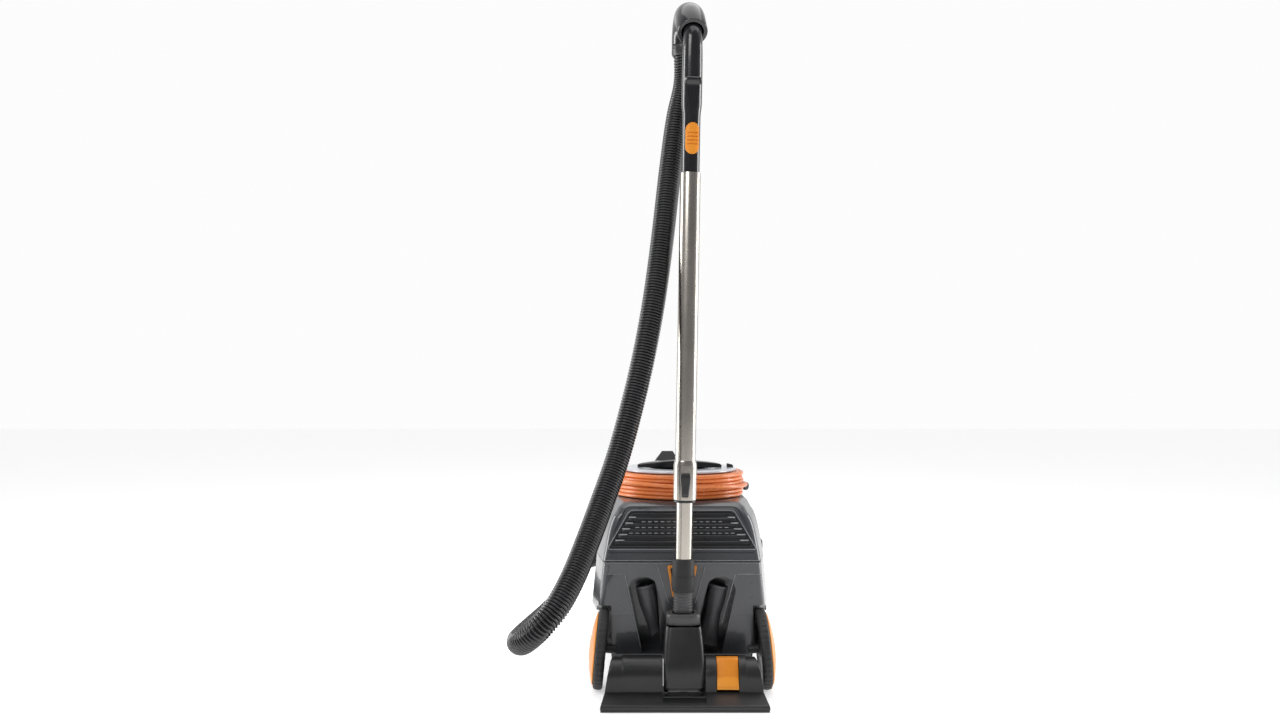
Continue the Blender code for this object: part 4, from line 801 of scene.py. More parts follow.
def make_park_slot_frame():
    rings = []
    outer = [(-0.026, 0.2155), (0.026, 0.2155), (0.017, 0.160), (-0.017, 0.160)]
    inner = [(-0.0205, 0.211), (0.0205, 0.211), (0.0125, 0.1645), (-0.0125, 0.1645)]
    for outline, shrink, y in ((outer, 0.0, REAR + 0.0014), (outer, 0.0, REAR - 0.0022),
                               (outer, 0.0010, REAR - 0.0030), (inner, -0.0010, REAR - 0.0030),
                               (inner, 0.0, REAR - 0.0022), (inner, 0.0, REAR + 0.0014)):
        middle = Vector((0, 0.188))
        corners = []
        for x, z in outline:
            away = (Vector((x, z)) - middle)
            moved = middle + away * (1 - shrink / away.length * 1.4)
            corners.append((moved.x, moved.y, 0.0035 if outline is outer else 0.0022))
        rings.append([Vector((p.x, y, p.y)) for p in rounded(corners, 5)])
    finish_piece(loop("slot_frame", rings), "accent", "root", "accent", "park_slot_frame")


def rear_slope(z):
    for (z0, _, y0, _), (z1, _, y1, _) in zip(LID, LID[1:]):
        if z0 <= z <= z1:
            return y0 + (y1 - y0) * (z - z0) / (z1 - z0)
    return LID[0][2] if z < LID[0][0] else LID[-1][2]


def grille_outline(grow=0.0, radius=0.008):
    low, high = GRILLE_LOW - grow, GRILLE_HIGH + grow
    corners = [(-0.1275 - grow, low, 0.003), (0.1275 + grow, low, 0.003),
               (0.089 + grow, high, radius + 0.004), (-0.089 - grow, high, radius + 0.004)]
    return [(p.x, p.y) for p in rounded(corners, 6)]


def dense_sides(outline, step=0.004):
    """More points along the long sides of an outline, so that it follows a curved wall."""
    dense = []
    for (x0, z0), (x1, z1) in zip(outline, outline[1:] + outline[:1]):
        count = max(1, round(math.hypot(x1 - x0, z1 - z0) / step))
        dense += [(x0 + (x1 - x0) * k / count, z0 + (z1 - z0) * k / count) for k in range(count)]
    return dense


def sloped_prism(name, outline, front, back):
    outline = dense_sides(outline)
    return loft(name, [[Vector((x, rear_slope(z) + d, z)) for x, z in outline] for d in (front, back)])


def make_lid():
    lid = loft("lid_shell", [plan(*level) for level in (*smooth_levels(LID[:-2], 3), *LID[-2:])])
    levels = [(LID_BOTTOM - 0.01, *LID[0][1:]), *LID[:-2], (LID_TOP - WALL, *LID[-2][1:])]
    cavity = loft("cavity", [plan(*level, inset=WALL) for level in levels])
    opening = sloped_prism("opening", grille_outline(), -0.02, 0.02)
    mouth = sloped_prism("mouth", grille_outline(0.0018), -0.02, 0.0014)
    groove = sloped_prism("groove", grille_outline(0.0092, 0.012), -0.01, 0.0012)
    carve(groove, sloped_prism("groove_inside", grille_outline(0.0078, 0.012), -0.02, 0.02))
    carve(lid, cavity, opening, mouth, groove)
    add_knuckles(lid, (-0.009,), LID_BOTTOM + 0.0008, LID_BOTTOM + 0.0035)
    finish_piece(lid, "housing", "lid_body", "housing", "lid", angle=28)
    # Beads in the painted highlight grey round the grille recess and along the seam
    bead_lines("lid_beads", "lid_body", [
        [Vector((x, rear_slope(z) + 0.0002, z)) for x, z in closed(dense_sides(grille_outline(0.0030)))],
        [Vector((x, REAR + 0.0002, LID_BOTTOM + 0.0010)) for x in (-0.1355, 0.1355)],
    ], 0.0009)


def closed(outline):
    return [*outline, outline[0]]


def bead_lines(name, body, lines, radius):
    """Thin raised beads along the given lines, lit by the lamps like the moulded edges and coloured paler than
    the housing as a painted highlight.
    """
    parts = []
    for line in lines:
        parts.append(loft("bead", tube_rings(line, [radius] * len(line), 12)))
    finish_piece(join(name, parts), "edge", body, "housing", angle=50)


def make_grille():
    """A dark back plate behind louvres with raised outer ends, and small lugs between the rows; the ends and
    lugs are pale grey painted highlights.
    """
    plate = sloped_prism("back_plate", grille_outline(-0.001), 0.0040, 0.0062)
    rows, low, high = 5, 0.2505, 0.2995
    pitch = (high - low) / rows
    added, painted_highlight_parts = [], []
    for row in range(rows):
        z = low + pitch * (row + 0.5)
        reach = 0.1225 - (z - GRILLE_LOW) * 0.60
        y = rear_slope(z)
        for side in (-1, 1):
            stations = []
            for share, swell in ((0.030, 0.75), (0.05, 1.0), (0.3, 1.0), (0.7, 1.0), (0.90, 1.05),
                                 (0.955, 1.45), (0.985, 1.5), (1.0, 1.0)):
                section = [(0.0045, -0.0012), (0.0012, -0.0026), (0.0004, -0.0022), (0.0004, -0.0012),
                           (0.0016, 0.0006), (0.0045, 0.0026)]
                x = side * reach * share
                stations.append([Vector((x, y + 0.0045 + (a - 0.0045) * min(swell, 1.06), z + b * swell))
                                 for a, b in section])
            added.append(loft("louvre", stations))
            count = int((reach - 0.022) / 0.0110) if 0 < row < 4 else 0
            # Small lugs between the rows, pale grey: painted highlight dots
            for k in range(count):
                x = side * (0.0120 + 0.0110 * k)
                lug_z = z + pitch / 2
                lug = box("lug", (x - 0.0034, y + 0.0022, lug_z - 0.0009),
                          (x + 0.0034, y + 0.0050, lug_z + 0.0009))
                painted_highlight_parts.append(soften(lug, 0.0006, 2))
            # The outer end of each louvre, pale grey: a painted highlight
            tip = []
            for share, size in ((0.86, 0.2), (0.872, 0.75), (0.89, 1.0), (0.985, 1.0), (1.0, 0.7),
                                (1.006, 0.2)):
                x = side * reach * share
                turns = [2 * math.pi * j / 12 for j in range(12)]
                ring = [(0.0012 * size * math.cos(t), 0.0014 * size * math.sin(t)) for t in turns]
                tip.append([Vector((x, y + 0.0014 + a, z + 0.0026 + b)) for a, b in ring])
            painted_highlight_parts.append(loft("tip", tip))
    finish_piece(join("louvre_tips", painted_highlight_parts), "tips", "lid_body", "grille", angle=50)
    rib = dense_sides([(-0.0028, 0.2475), (0.0028, 0.2475), (0.0028, 0.3025), (-0.0028, 0.3025)])
    added.append(loft("rib", [[Vector((x, rear_slope(z) + d, z)) for x, z in rib] for d in (0.0005, 0.0045)]))
    rim = []
    for grow, depth in ((-0.001, 0.0006), (-0.001, 0.0045), (-0.0035, 0.0045), (-0.0030, 0.0006)):
        rim.append([Vector((x, rear_slope(z) + depth, z)) for x, z in grille_outline(grow)])
    added.append(loop("rim", rim))
    grille = join("louvres", [plate, *added])
    finish_piece(grille, "grille", "lid_body", "grille", "exhaust_grille", angle=40)


def join(name, parts):
    """One object of several meshes."""
    shape = bmesh.new()
    for part in parts:
        shape.from_mesh(part.data)
        bpy.data.objects.remove(part, do_unlink=True)
    mesh = bpy.data.meshes.new(name)
    shape.to_mesh(mesh)
    shape.free()
    made = bpy.data.objects.new(name, mesh)
    bpy.context.scene.collection.objects.link(made)
    return made


def make_drum_and_cap():
    """The drum, its cap and the cord clip. Returns the height of the cap's top."""
    base = LID_TOP + GAP
    place = Matrix.Translation((0, DRUM_Y, base))
    ring = [(0.012, 0.004), (0.091, 0.004), (0.091, 0.0440), (0.0915, 0.0445), (0.0945, 0.0445),
            (0.095, 0.0440), (0.095, 0.0), (0.012, 0.0)]
    finish_piece(turned_ring("drum", ring, place, 128), "housing", "lid_body", "housing", "cord_drum")
    top = Matrix.Translation((0, DRUM_Y, base + DRUM_HEIGHT + GAP))
    profile = [(0.062, 0.0003), (0.0625, 0.0), (0.1030, 0.0), (0.1046, 0.0006), (0.1055, 0.0020),
               (0.1053, 0.0034), (0.1046, 0.0043), (0.1030, 0.0050), (0.0995, 0.0055), (0.0870, 0.0055),
               (0.0865, 0.0049), (0.0855, 0.0049), (0.0850, 0.0055), (0.0640, 0.0055), (0.0626, 0.0050),
               (0.062, 0.0042)]
    cap = turned_ring("cap_disc", profile, top, 144)
    finish_piece(cap, "cap", "lid_body", "housing", "top_cap")
    outline = [(0.0890, 0.0050), (0.1010, 0.0050), (0.1000, 0.0095), (0.0900, 0.0118), (0.0885, 0.0110)]
    clip = loft("cord_clip", [[Vector((x, y, z)) for x, z in outline] for y in (-0.006, 0.006)], top)
    soften(clip, 0.0009)
    finish_piece(clip, "black", "lid_body", "black_plastic")
    return base + DRUM_HEIGHT + GAP + CAP_HEIGHT


def make_carry_handle(base):
    half, y = 0.078, DRUM_Y - 0.012
    rings = []
    for k in range(49):
        s = -1 + k / 24
        deep = 0.007 + 0.012 * (1 - s * s)
        rise = 0.0045 + 0.0095 * (1 - abs(s)) ** 0.5
        low = base + GAP
        corners = [(-deep, 0, 0.001), (deep, 0, 0.001), (deep * 0.86, rise, 0.0022),
                   (-deep * 0.86, rise, 0.0022)]
        rings.append([Vector((s * half, y + p.x, low + p.y)) for p in rounded(corners, 4)])
    finish_piece(loft("carry_bar", rings), "gloss_black", "lid_body", "black_plastic", "carry_handle")


def make_foot_switch(base):
    low = base + GAP + 0.0005
    outline = [(0.0600, low, 0), (0.0970, low + 0.0035, 0.001), (0.0980, low + 0.0080, 0.002),
               (0.0880, low + 0.0235, 0.0035), (0.0780, low + 0.0245, 0.003), (0.0600, low + 0.0060, 0.002)]
    outline = [(p.x, p.y) for p in rounded([(a, b, max(r, 0.0004)) for a, b, r in outline], 4)]
    pedal = prism_x("switch_pedal", outline, -0.048, 0.004)
    for vertex in pedal.data.vertices:
        share = (vertex.co.z - low) / 0.0245
        vertex.co.x = -0.0200 + (vertex.co.x + 0.0200) * (1 - 0.62 * share)
    soften(pedal, 0.0012)
    finish_piece(pedal, "rubber", "switch_body", "black_plastic", "foot_switch")


def make_side_latches():
    for side, word in ((-1, "left"), (1, "right")):
        outline = [(0.0030, 0.1980), (0.0060, 0.1980), (0.0050, 0.2320), (0.0016, 0.2380), (0.0006, 0.2385),
                   (0.0006, 0.2220)]
        shape = [(side * (HALF_WIDTH + x), z) for x, z in outline]
        latch = prism_y(f"catch_{word}", shape, 0.035, 0.075)
        xs = sorted((side * (HALF_WIDTH + 0.0052), side * (HALF_WIDTH + 0.0120)))
        grooves = [box("groove", (xs[0], 0.041, z), (xs[1], 0.069, z + 0.0014))
                   for z in (0.2040, 0.2075, 0.2110)]
        soften(latch, 0.0006, 2)
        carve(latch, *grooves)
        finish_piece(latch, "grille", f"latch_{word}_body", "grille", f"side_latch_{word}")


def pleats(name, low, high, along, look, body, node):
    """A filter pad folded into pleats along one axis, inside a box."""
    width, depth = 0.0045, 0.004
    count = int((high[along] - low[along]) / width)
    across = 2
    zigzag = []
    for k in range(count * 2 + 1):
        zigzag.append((low[along] + (high[along] - low[along]) * k / (count * 2),
                       high[across] - (k % 2) * depth))
    outline = [(low[along], low[across]), (high[along], low[across]), *reversed(zigzag)]
    other = 1 - along
    rings = []
    for level in (low[other], high[other]):
        ring = [Vector((0, 0, z)) for _, z in outline]
        for point, (a, _) in zip(ring, outline):
            point[along], point[other] = a, level
        rings.append(ring)
    finish_piece(loft(name, rings), look, body, "filter", node, angle=20)


def make_insides():
    low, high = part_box("premotor_filter")
    pleats("filter_pleats", low, high, 1, "filter", "root", "premotor_filter")
    low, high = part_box("exhaust_filter")
    pleats("exhaust_pleats", low, high, 0, "filter", "lid_body", "exhaust_filter")
    levels = ((LID_BOTTOM + 0.001, *LID[0][1:]), (LID_BOTTOM + 0.005, *LID[0][1:]))
    deck = loft("deck_plate", [plan(*level, inset=WALL + 0.001) for level in levels])
    hole = turned("hole", [(0.030, -0.02), (0.030, 0.02)], Matrix.Translation((0, MOTOR_Y, LID_BOTTOM)))
    vents = []
    for t in [2 * math.pi * k / 18 for k in range(18)]:
        at = Matrix.Translation((0.040 * math.cos(t), MOTOR_Y + 0.040 * math.sin(t), LID_BOTTOM))
        vents.append(turned("hole", [(0.0025, -0.02), (0.0025, 0.02)], at, 16))
    carve(deck, hole, join("vents", vents))
    finish_piece(deck, "grille", "lid_body", "grille", "motor_deck")
    motor = [(0.0545, 0.0003), (0.056, 0.0018), (0.056, 0.0240), (0.0545, 0.026), (0.050, 0.0275),
             (0.042, 0.029), (0.0400, 0.031), (0.040, 0.050), (0.0392, 0.0505), (0.0392, 0.053),
             (0.040, 0.0535), (0.040, 0.070), (0.0385, 0.0718), (0.016, 0.0755), (0.014, 0.077),
             (0.014, 0.078)]
    place = Matrix.Translation((0, MOTOR_Y, LID_BOTTOM + 0.005 + GAP))
    finish_piece(turned("motor_can", motor, place), "motor", "lid_body", "motor", "motor_fan")
    make_dust_bag()
    keep("switch_box", "black", 0.0012)
    keep("bag_collar", "paper", 0.0006)
    keep("hinge_pin", "steel")
    for side in ("left", "right"):
        keep(f"axle_{side}", "black")


def make_dust_bag():
    """A full paper bag: crowned, with soft creases that gather towards its edges."""
    (x0, y0, z0), (x1, y1, z1) = (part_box("dust_bag")[0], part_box("dust_bag")[1])
    middle = Vector(((x0 + x1) / 2, (y0 + y1) / 2, (z0 + z1) / 2))
    half = Vector(((x1 - x0) / 2, (y1 - y0) / 2, (z1 - z0) / 2))
    shape = bmesh.new()
    bmesh.ops.create_cube(shape, size=2)
    bmesh.ops.subdivide_edges(shape, edges=shape.edges[:], cuts=40, use_grid_fill=True)
    for vertex in shape.verts:
        p = vertex.co
        crown = Vector((1 - 0.10 * (p.y**2 + p.z**2) / 2 - 0.16 * max(abs(p.y), abs(p.z)) ** 8,
                        1 - 0.06 * (p.x**2 + p.z**2) / 2 - 0.10 * max(abs(p.x), abs(p.z)) ** 8,
                        1 - 0.16 * (p.x**2 + p.y**2) / 2 - 0.22 * max(abs(p.x), abs(p.y)) ** 8))
        place = Vector((p.x * half.x * crown.x, p.y * half.y * crown.y, p.z * half.z * crown.z))
        edge = max(abs(p.x), abs(p.y))
        crease = noise.noise(Vector((p.x * 3, p.y * 3, p.z * 5))) * 0.6 + noise.noise(place * 90) * 0.3
        place *= 1 - 0.018 - 0.022 * abs(crease) * (0.5 + edge)
        vertex.co = middle + place
    mesh = bpy.data.meshes.new("bag_full")
    bmesh.ops.recalc_face_normals(shape, faces=shape.faces)
    shape.to_mesh(mesh)
    shape.free()
    bag = bpy.data.objects.new("bag_full", mesh)
    bpy.context.scene.collection.objects.link(bag)
    finish_piece(bag, "paper", "root", "paper", "dust_bag", angle=60)


def keep(node, look, width=0.0):
    """A CAD node that stays, with a better material and softer edges."""
    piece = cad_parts[node]
    for index in range(max(1, len(piece.material_slots))):
        if piece.material_slots:
            piece.material_slots[index].material = LOOKS[look]
        else:
            piece.data.materials.append(LOOKS[look])
    weld = piece.modifiers.new("weld", "WELD")
    weld.merge_threshold = 0.00001
    if width:
        bevel = piece.modifiers.new("edges", "BEVEL")
        bevel.width = width
        bevel.segments = 3
        bevel.limit_method = "ANGLE"
        bevel.angle_limit = math.radians(35)


# --- hose inlet -------------------------------------------------------------------------------


def make_inlet():
    place = Matrix.Translation(INLET) @ Matrix.Rotation(-math.pi / 2, 4, "X")
    ring = [(0.027, -0.055), (0.027, GAP), (0.0312, GAP), (0.032, 0.0012), (0.032, 0.0066), (0.0308, 0.008),
            (0.0245, 0.008), (0.0235, 0.007), (0.0235, -0.055)]
    finish_piece(turned_ring("inlet_ring", ring, place, 72), "black", "root", "black_plastic", "hose_inlet")
    path = inlet_elbow_path()
    outer = tube_rings(path, [0.0225] * len(path), 48)
    inner = tube_rings(path, [0.0200] * len(path), 48)
    elbow = loop("inlet_elbow", outer + list(reversed(inner)))
    finish_piece(elbow, "black", "root", "black_plastic", "hose_elbow")


# --- wheels -----------------------------------------------------------------------------------


def wheel_place(side):
    turn = Matrix.Rotation(side * (math.pi / 2 - CAMBER), 4, "Y")
    return Matrix.Translation((side * WHEEL.x, WHEEL.y, WHEEL.z)) @ turn


def make_tyre(name, place):
    """A rubber tyre with a shallow cross-cut tread."""
    sides, rings = 240, []
    profile = eased([(0.0524, -0.0085), (0.0660, -0.0085), (0.0690, -0.0065), (0.0700, -0.003),
                     (0.0700, 0.003), (0.0690, 0.0065), (0.0660, 0.0085), (0.0524, 0.0085)], 0.0012, 2)
    for radius, height in profile:
        ring = []
        for k in range(sides):
            t = 2 * math.pi * k / sides
            cut = 0.0010 if radius > 0.0675 and abs(height) > 0.0018 and k % 6 in (0, 1) else 0.0
            ring.append(Vector(((radius - cut) * math.cos(t), (radius - cut) * math.sin(t), height)))
        rings.append(ring)
    return loop(name, rings, place)


def make_rear_wheels():
    for side, word in ((-1, "left"), (1, "right")):
        place, body = wheel_place(side), f"wheel_{word}_body"
        finish_piece(make_tyre(f"tread_{word}", place), "tyre", body, "tyre", f"tyre_{word}", angle=30)
        disc = eased([(0.0075, -0.0085), (0.0120, -0.0085), (0.0150, -0.0060), (0.0400, -0.0055),
                      (0.0460, -0.0078), (0.0520, -0.0075), (0.0520, 0.0075), (0.0075, 0.0075)], 0.0006)
        hub = turned_ring(f"rim_{word}", disc, place, 96)
        finish_piece(hub, "black", body, "black_plastic", f"wheel_hub_{word}")
        base, rim, crown = 0.0085 + GAP, 0.0612, 0.0089
        dome = [(0.0615, base), (0.0625, base + 0.0006), (0.0623, base + 0.0016), (rim, base + 0.0024)]
        for k in range(1, 17):
            r = rim * (1 - k / 16) + 0.0012 * k / 16
            dome.append((r, base + 0.0024 + crown * (1 - (r / rim) ** 2)))
        inset = [(r, h - (0.0007 if 0.0235 < r < 0.0300 else 0)) for r, h in dome]
        finish_piece(turned(f"dome_{word}", inset, place, 96), "accent", body, "accent", f"hub_cap_{word}",
                     angle=50)


def make_castors():
    for side, word in ((-1, "left"), (1, "right")):
        swivel = Vector((side * CASTOR_X, CASTOR_Y, 0))
        wheel = swivel + Vector((0, 0.014, 0.020))
        place = Matrix.Translation(wheel) @ Matrix.Rotation(math.pi / 2, 4, "Y")
        rim = eased([(0.0030, -0.009), (0.018, -0.009), (0.020, -0.006), (0.020, 0.006), (0.018, 0.009),
                     (0.0030, 0.009)], 0.0011)
        finish_piece(turned_ring(f"roller_{word}", rim, place, 64), "rubber", f"castor_wheel_{word}_body",
                     "rubber", f"castor_wheel_{word}")
        top = [(-0.013, -0.010, 0.004), (0.013, -0.010, 0.004), (0.013, 0.020, 0.006), (-0.013, 0.020, 0.006)]
        rings = [[Vector((p.x, p.y, z)) + swivel for p in rounded(top, 5)] for z in (0.0415, 0.0460)]
        fork = loft(f"fork_{word}", rings)
        added = []
        for x in (-0.013, 0.0098):
            arm = rounded([(0.008, 0.014, 0.0055), (0.020, 0.014, 0.0055), (0.020, 0.044, 0.001),
                           (0.008, 0.044, 0.001)], 6)
            added.append(loft("arm", [[Vector((x + d, p.x, p.y)) + swivel for p in arm]
                                      for d in (0, 0.0032)]))
        stem = [(0.0040, 0.043), (0.0040, 0.0526), (0.0034, 0.0534)]
        added.append(turned("stem", stem, Matrix.Translation(swivel), 32))
        added.append(turned("pin", [(0.0024, -0.011), (0.0024, 0.011)], place, 24))
        carve(fork, *added, operation="UNION")
        finish_piece(fork, "black", f"castor_{word}_body", "black_plastic", f"castor_fork_{word}")


# --- nozzles ----------------------------------------------------------------------------------


def make_nozzles():
    """Two nozzles in slanted bays: a crevice nozzle with a raked tip, and a wider one with a turned rim."""
    crevice = ((-0.045, 0.0145, 0.0145), (-0.060, 0.0125, 0.0118), (-0.075, 0.0103, 0.0085),
               (-0.0915, 0.0088, 0.0070))
    upholstery = (
        (-0.045, 0.0145, 0.0145), (-0.058, 0.0147, 0.0140), (-0.074, 0.0158, 0.0132),
        (-0.086, 0.0172, 0.0123), (-0.096, 0.0198, 0.0112), (-0.1020, 0.0205, 0.0108),
        (-0.1026, 0.0212, 0.0112), (-0.1055, 0.0212, 0.0112),
    )
    for side, name, head, rake in ((-1, "crevice", crevice, 0.010), (1, "upholstery", upholstery, 0.0)):
        top = (Matrix.Translation((side * 0.0645, -0.1235, 0.1785))
               @ Matrix.Rotation(side * math.radians(12), 4, "Y"))
        levels = [(0.0, 0.0168, 0.0168), (-0.0008, 0.0175, 0.0175), (-0.0045, 0.0175, 0.0175),
                  (-0.0052, 0.0168, 0.0168), (-0.030, 0.0168, 0.0168), *head]
        rings = [nozzle_ring(h, a, b, rake, head[-1][0]) for h, a, b in levels]
        inside = [nozzle_ring(h, a - 0.002, b - 0.002, rake, head[-1][0]) for h, a, b in reversed(levels)]
        piece = loop(f"{name}_tool", rings + inside, top)
        finish_piece(piece, "nozzle", f"{name}_body", "black_plastic", f"{name}_nozzle", angle=40)


def nozzle_ring(height, wide, deep, rake, end):
    ring = []
    for k in range(64):
        t = 2 * math.pi * k / 64
        share = max(0.0, (height + 0.060) / (end + 0.060)) if rake else 0.0
        lift = rake * share * (0.5 + 0.5 * math.cos(t))
        ring.append(Vector((wide * math.cos(t), deep * math.sin(t), height + lift)))
    return ring


# --- floor tool and neck ----------------------------------------------------------------------

SOLE_TOP = 0.0038
HUMP = Vector((0, -0.215, 0.044))
TOOL_FRONT, TOOL_REAR = -0.290, -0.172
TOOL_HALF, TOOL_REAR_HALF = 0.139, 0.127


def tool_section(x, height, shear, lean):
    """One (y, z) section of the tool's shell, placed at x, with its hump scaled by height."""
    low = SOLE_TOP + GAP
    outline = [(TOOL_FRONT, low, 0.0004), (TOOL_FRONT, 0.0105, 0.0025), (TOOL_FRONT + 0.012, 0.0135, 0.006),
               (TOOL_FRONT + 0.040, 0.0135 + 0.009 * height, 0.004)]
    ends = [(TOOL_FRONT + 0.043, 0.02, 0), (TOOL_REAR, 0.0, 0)]
    points = [(p.x, p.y) for p in rounded([*outline, *ends], 4)[:-2]]
    for k in range(25):
        t = math.radians(180 - 180 * k / 24)
        top = HUMP.z + 0.032 * math.sin(t)
        points.append((HUMP.y + 0.032 * math.cos(t), 0.0135 + (top - 0.0135) * height))
    points += [(TOOL_REAR - 0.0012, 0.0135), (TOOL_REAR, 0.0123), (TOOL_REAR, low)]
    return [Vector((x - shear * (y - TOOL_FRONT) - lean * (z - low), y, z)) for y, z in points]


def make_floor_tool():
    """The floor tool: a rounded barrel between two end plates with slanted sides."""
    slope = (TOOL_HALF - TOOL_REAR_HALF) / (TOOL_REAR - TOOL_FRONT)
    right = [
        (0.0352, 0.0, 0.0, 0.0), (0.0355, 0.97, 0.0, 0.0), (0.0365, 1.0, 0.0, 0.0), (0.0500, 1.0, 0.0, 0.0),
        (0.0950, 1.0, 0.0, 0.0), (0.1018, 1.0, 0.0, 0.0), (0.1032, 0.985, 0.0, 0.0),
        (0.1038, 0.955, 0.0, 0.0),
        (0.1060, 0.950, 0.0, 0.0), (0.1300, 0.950, 0.8 * slope, 0.120), (0.1376, 0.950, slope, 0.148),
        (0.1388, 0.930, slope, 0.150),
    ]
    left = [(-x, height, -shear, -lean) for x, height, shear, lean in reversed(right)]
    housing = loft("tool_shell", [tool_section(*station) for station in left + right])
    cuts = []
    for y in (-0.272, -0.186):
        cuts.append(box("groove", (-0.099, y - 0.0055, 0.0), (0.099, y + 0.0055, 0.0092)))
    cuts.append(box("mouth", (-0.026, -0.236, -0.01), (0.026, -0.198, 0.03)))
    pocket = [(-0.262, 0.0225), (-0.236, 0.0225), (-0.205, 0.050), (-0.205, 0.090), (-0.262, 0.090)]
    cuts.append(prism_x("pocket", pocket, 0.0535, 0.0915))
    carve(housing, *cuts)
    finish_piece(housing, "black", "tool_body", "black_plastic", "tool_housing", angle=30)
    keep("sole_plate", "black", 0.0006)
    for word, y in (("front", -0.272), ("rear", -0.186)):
        make_bristles(word, y)
    make_pedal()


def make_bristles(word, y):
    """Two rows of tufts under a thin strip."""
    parts = [box("strip", (-0.098, y - 0.0045, 0.0026), (0.098, y + 0.0045, SOLE_TOP))]
    for k in range(65):
        x = -0.0965 + 0.193 * k / 64
        for row in (-0.0022, 0.0022):
            lean = noise.noise(Vector((x * 300, y * 90, row * 900))) * 0.0006
            outline = [(0.0011, 0.0030), (0.0013, 0.0012), (0.0009, 0.0005)]
            turns = [2 * math.pi * j / 8 for j in range(8)]
            rings = []
            for r, h in outline:
                foot = x + lean * (0.003 - h) / 0.0025
                rings.append([Vector((foot + r * math.cos(t), y + row + r * math.sin(t), h)) for t in turns])
            parts.append(loft("tuft", rings))
    piece = join(f"bristles_{word}", parts)
    finish_piece(piece, "bristle", "brush_body", "bristle", f"brush_strip_{word}")


def make_pedal():
    outline = [(-0.2515, 0.0270, 0.0006), (-0.2500, 0.0330, 0.002), (-0.2440, 0.0440, 0.0012),
               (-0.2432, 0.0463, 0.0010), (-0.2300, 0.0745, 0.004), (-0.2170, 0.0755, 0.002),
               (-0.2170, 0.0560, 0.002), (-0.2380, 0.0300, 0.002), (-0.2420, 0.0265, 0.001)]
    outline = [(p.x, p.y) for p in rounded(outline, 4)]
    pedal = prism_x("rocker_pedal", outline, 0.0545, 0.0905)
    soften(pedal, 0.0010)
    # Faces below the crease take the paler orange and faces above it the standard orange: painted light below
    # the crease, painted shade above it
    finish_piece(pedal, "accent_painted_light", "pedal_body", "accent", "tool_pedal")
    pedal.data.materials.append(LOOKS["accent"])
    for face in pedal.data.polygons:
        if face.center.z > 0.0452:
            face.material_index = 1


COVER = (
    (0.0290, 0.0330, -0.2500, -0.1910),
    (0.0600, 0.0338, -0.2485, -0.1860),
    (0.0850, 0.0336, -0.2400, -0.1760),
    (0.1180, 0.0305, -0.2260, -0.1670),
    (0.1252, 0.0292, -0.2220, -0.1665),
)


def cover_ring(level, inset, steps=6):
    z, half, front, back = level
    half, front, back = half - inset, front + inset, back - inset
    radius = max(0.010 - inset, 0.002)
    corners = [(half, front, radius), (half, back, radius), (-half, back, radius), (-half, front, radius)]
    return [Vector((p.x, p.y, z)) for p in rounded(corners, steps)]


def make_neck():
    barrel_place = Matrix.Translation((-0.0335, HUMP.y, HUMP.z)) @ Matrix.Rotation(math.pi / 2, 4, "Y")
    duct = turned("duct", [(0.0282, 0), (0.0290, 0.0008), (0.0290, 0.0662), (0.0282, 0.067)], barrel_place,
                  72)
    line = [Vector((0, y, z)) for y, z in ((HUMP.y, HUMP.z), (-0.212, 0.080), (-0.1965, 0.112),
                                           (TUBE_Y, 0.130))]
    top = Vector((0, TUBE_Y, 0.1435))
    riser = loft("riser", tube_rings([*line, top], [0.019, 0.018, 0.016, 0.016, 0.016], 48))
    carve(duct, riser, operation="UNION")
    line = [Vector((0, HUMP.y, 0.005)), *line, Vector((0, TUBE_Y, 0.160))]
    carve(duct, loft("bore", tube_rings(line, [0.0130] * 6, 40)))
    finish_piece(duct, "black", "root", "black_plastic", "neck_duct")
    corners = [(0.029, -0.2170, 0.016), (0.029, -0.1665, 0.016), (-0.029, -0.1665, 0.016),
               (-0.029, -0.2170, 0.016)]
    outer = rounded(corners, 14)
    middle = Vector((0, -0.1912))
    hole = [middle + 0.0198 * (p - middle).normalized() for p in outer]
    low, high = 0.1258, 0.1434

    def scaled(share, z):
        return [Vector((p.x * share, TUBE_Y + (p.y - TUBE_Y) * share, z)) for p in outer]

    rings = [scaled(0.985, low), scaled(1.0, low + 0.0010), scaled(1.0, high - 0.0045),
             scaled(0.992, high - 0.0030), scaled(0.965, high - 0.0010), scaled(0.93, high),
             [Vector((p.x, p.y, high)) for p in hole], [Vector((p.x, p.y, low)) for p in hole]]
    finish_piece(loop("neck_ring", rings), "collar", "root", "black_plastic", "neck_collar")
    cover = loft("neck_hood", [cover_ring(level, 0.0) for level in smooth_levels(COVER, 5)])
    shifted = [(0.020, *COVER[0][1:]), *COVER[1:-1], (0.1400, *COVER[-1][1:])]
    inside = loft("inside", [cover_ring(level, 0.0022) for level in shifted])
    place = Matrix.Translation((-0.05, HUMP.y, HUMP.z)) @ Matrix.Rotation(math.pi / 2, 4, "Y")
    carve(cover, inside, turned("room", [(0.0298, 0), (0.0298, 0.10)], place, 72))
    finish_piece(cover, "black", "root", "black_plastic", "neck_cover")


# --- wand and handle --------------------------------------------------------------------------


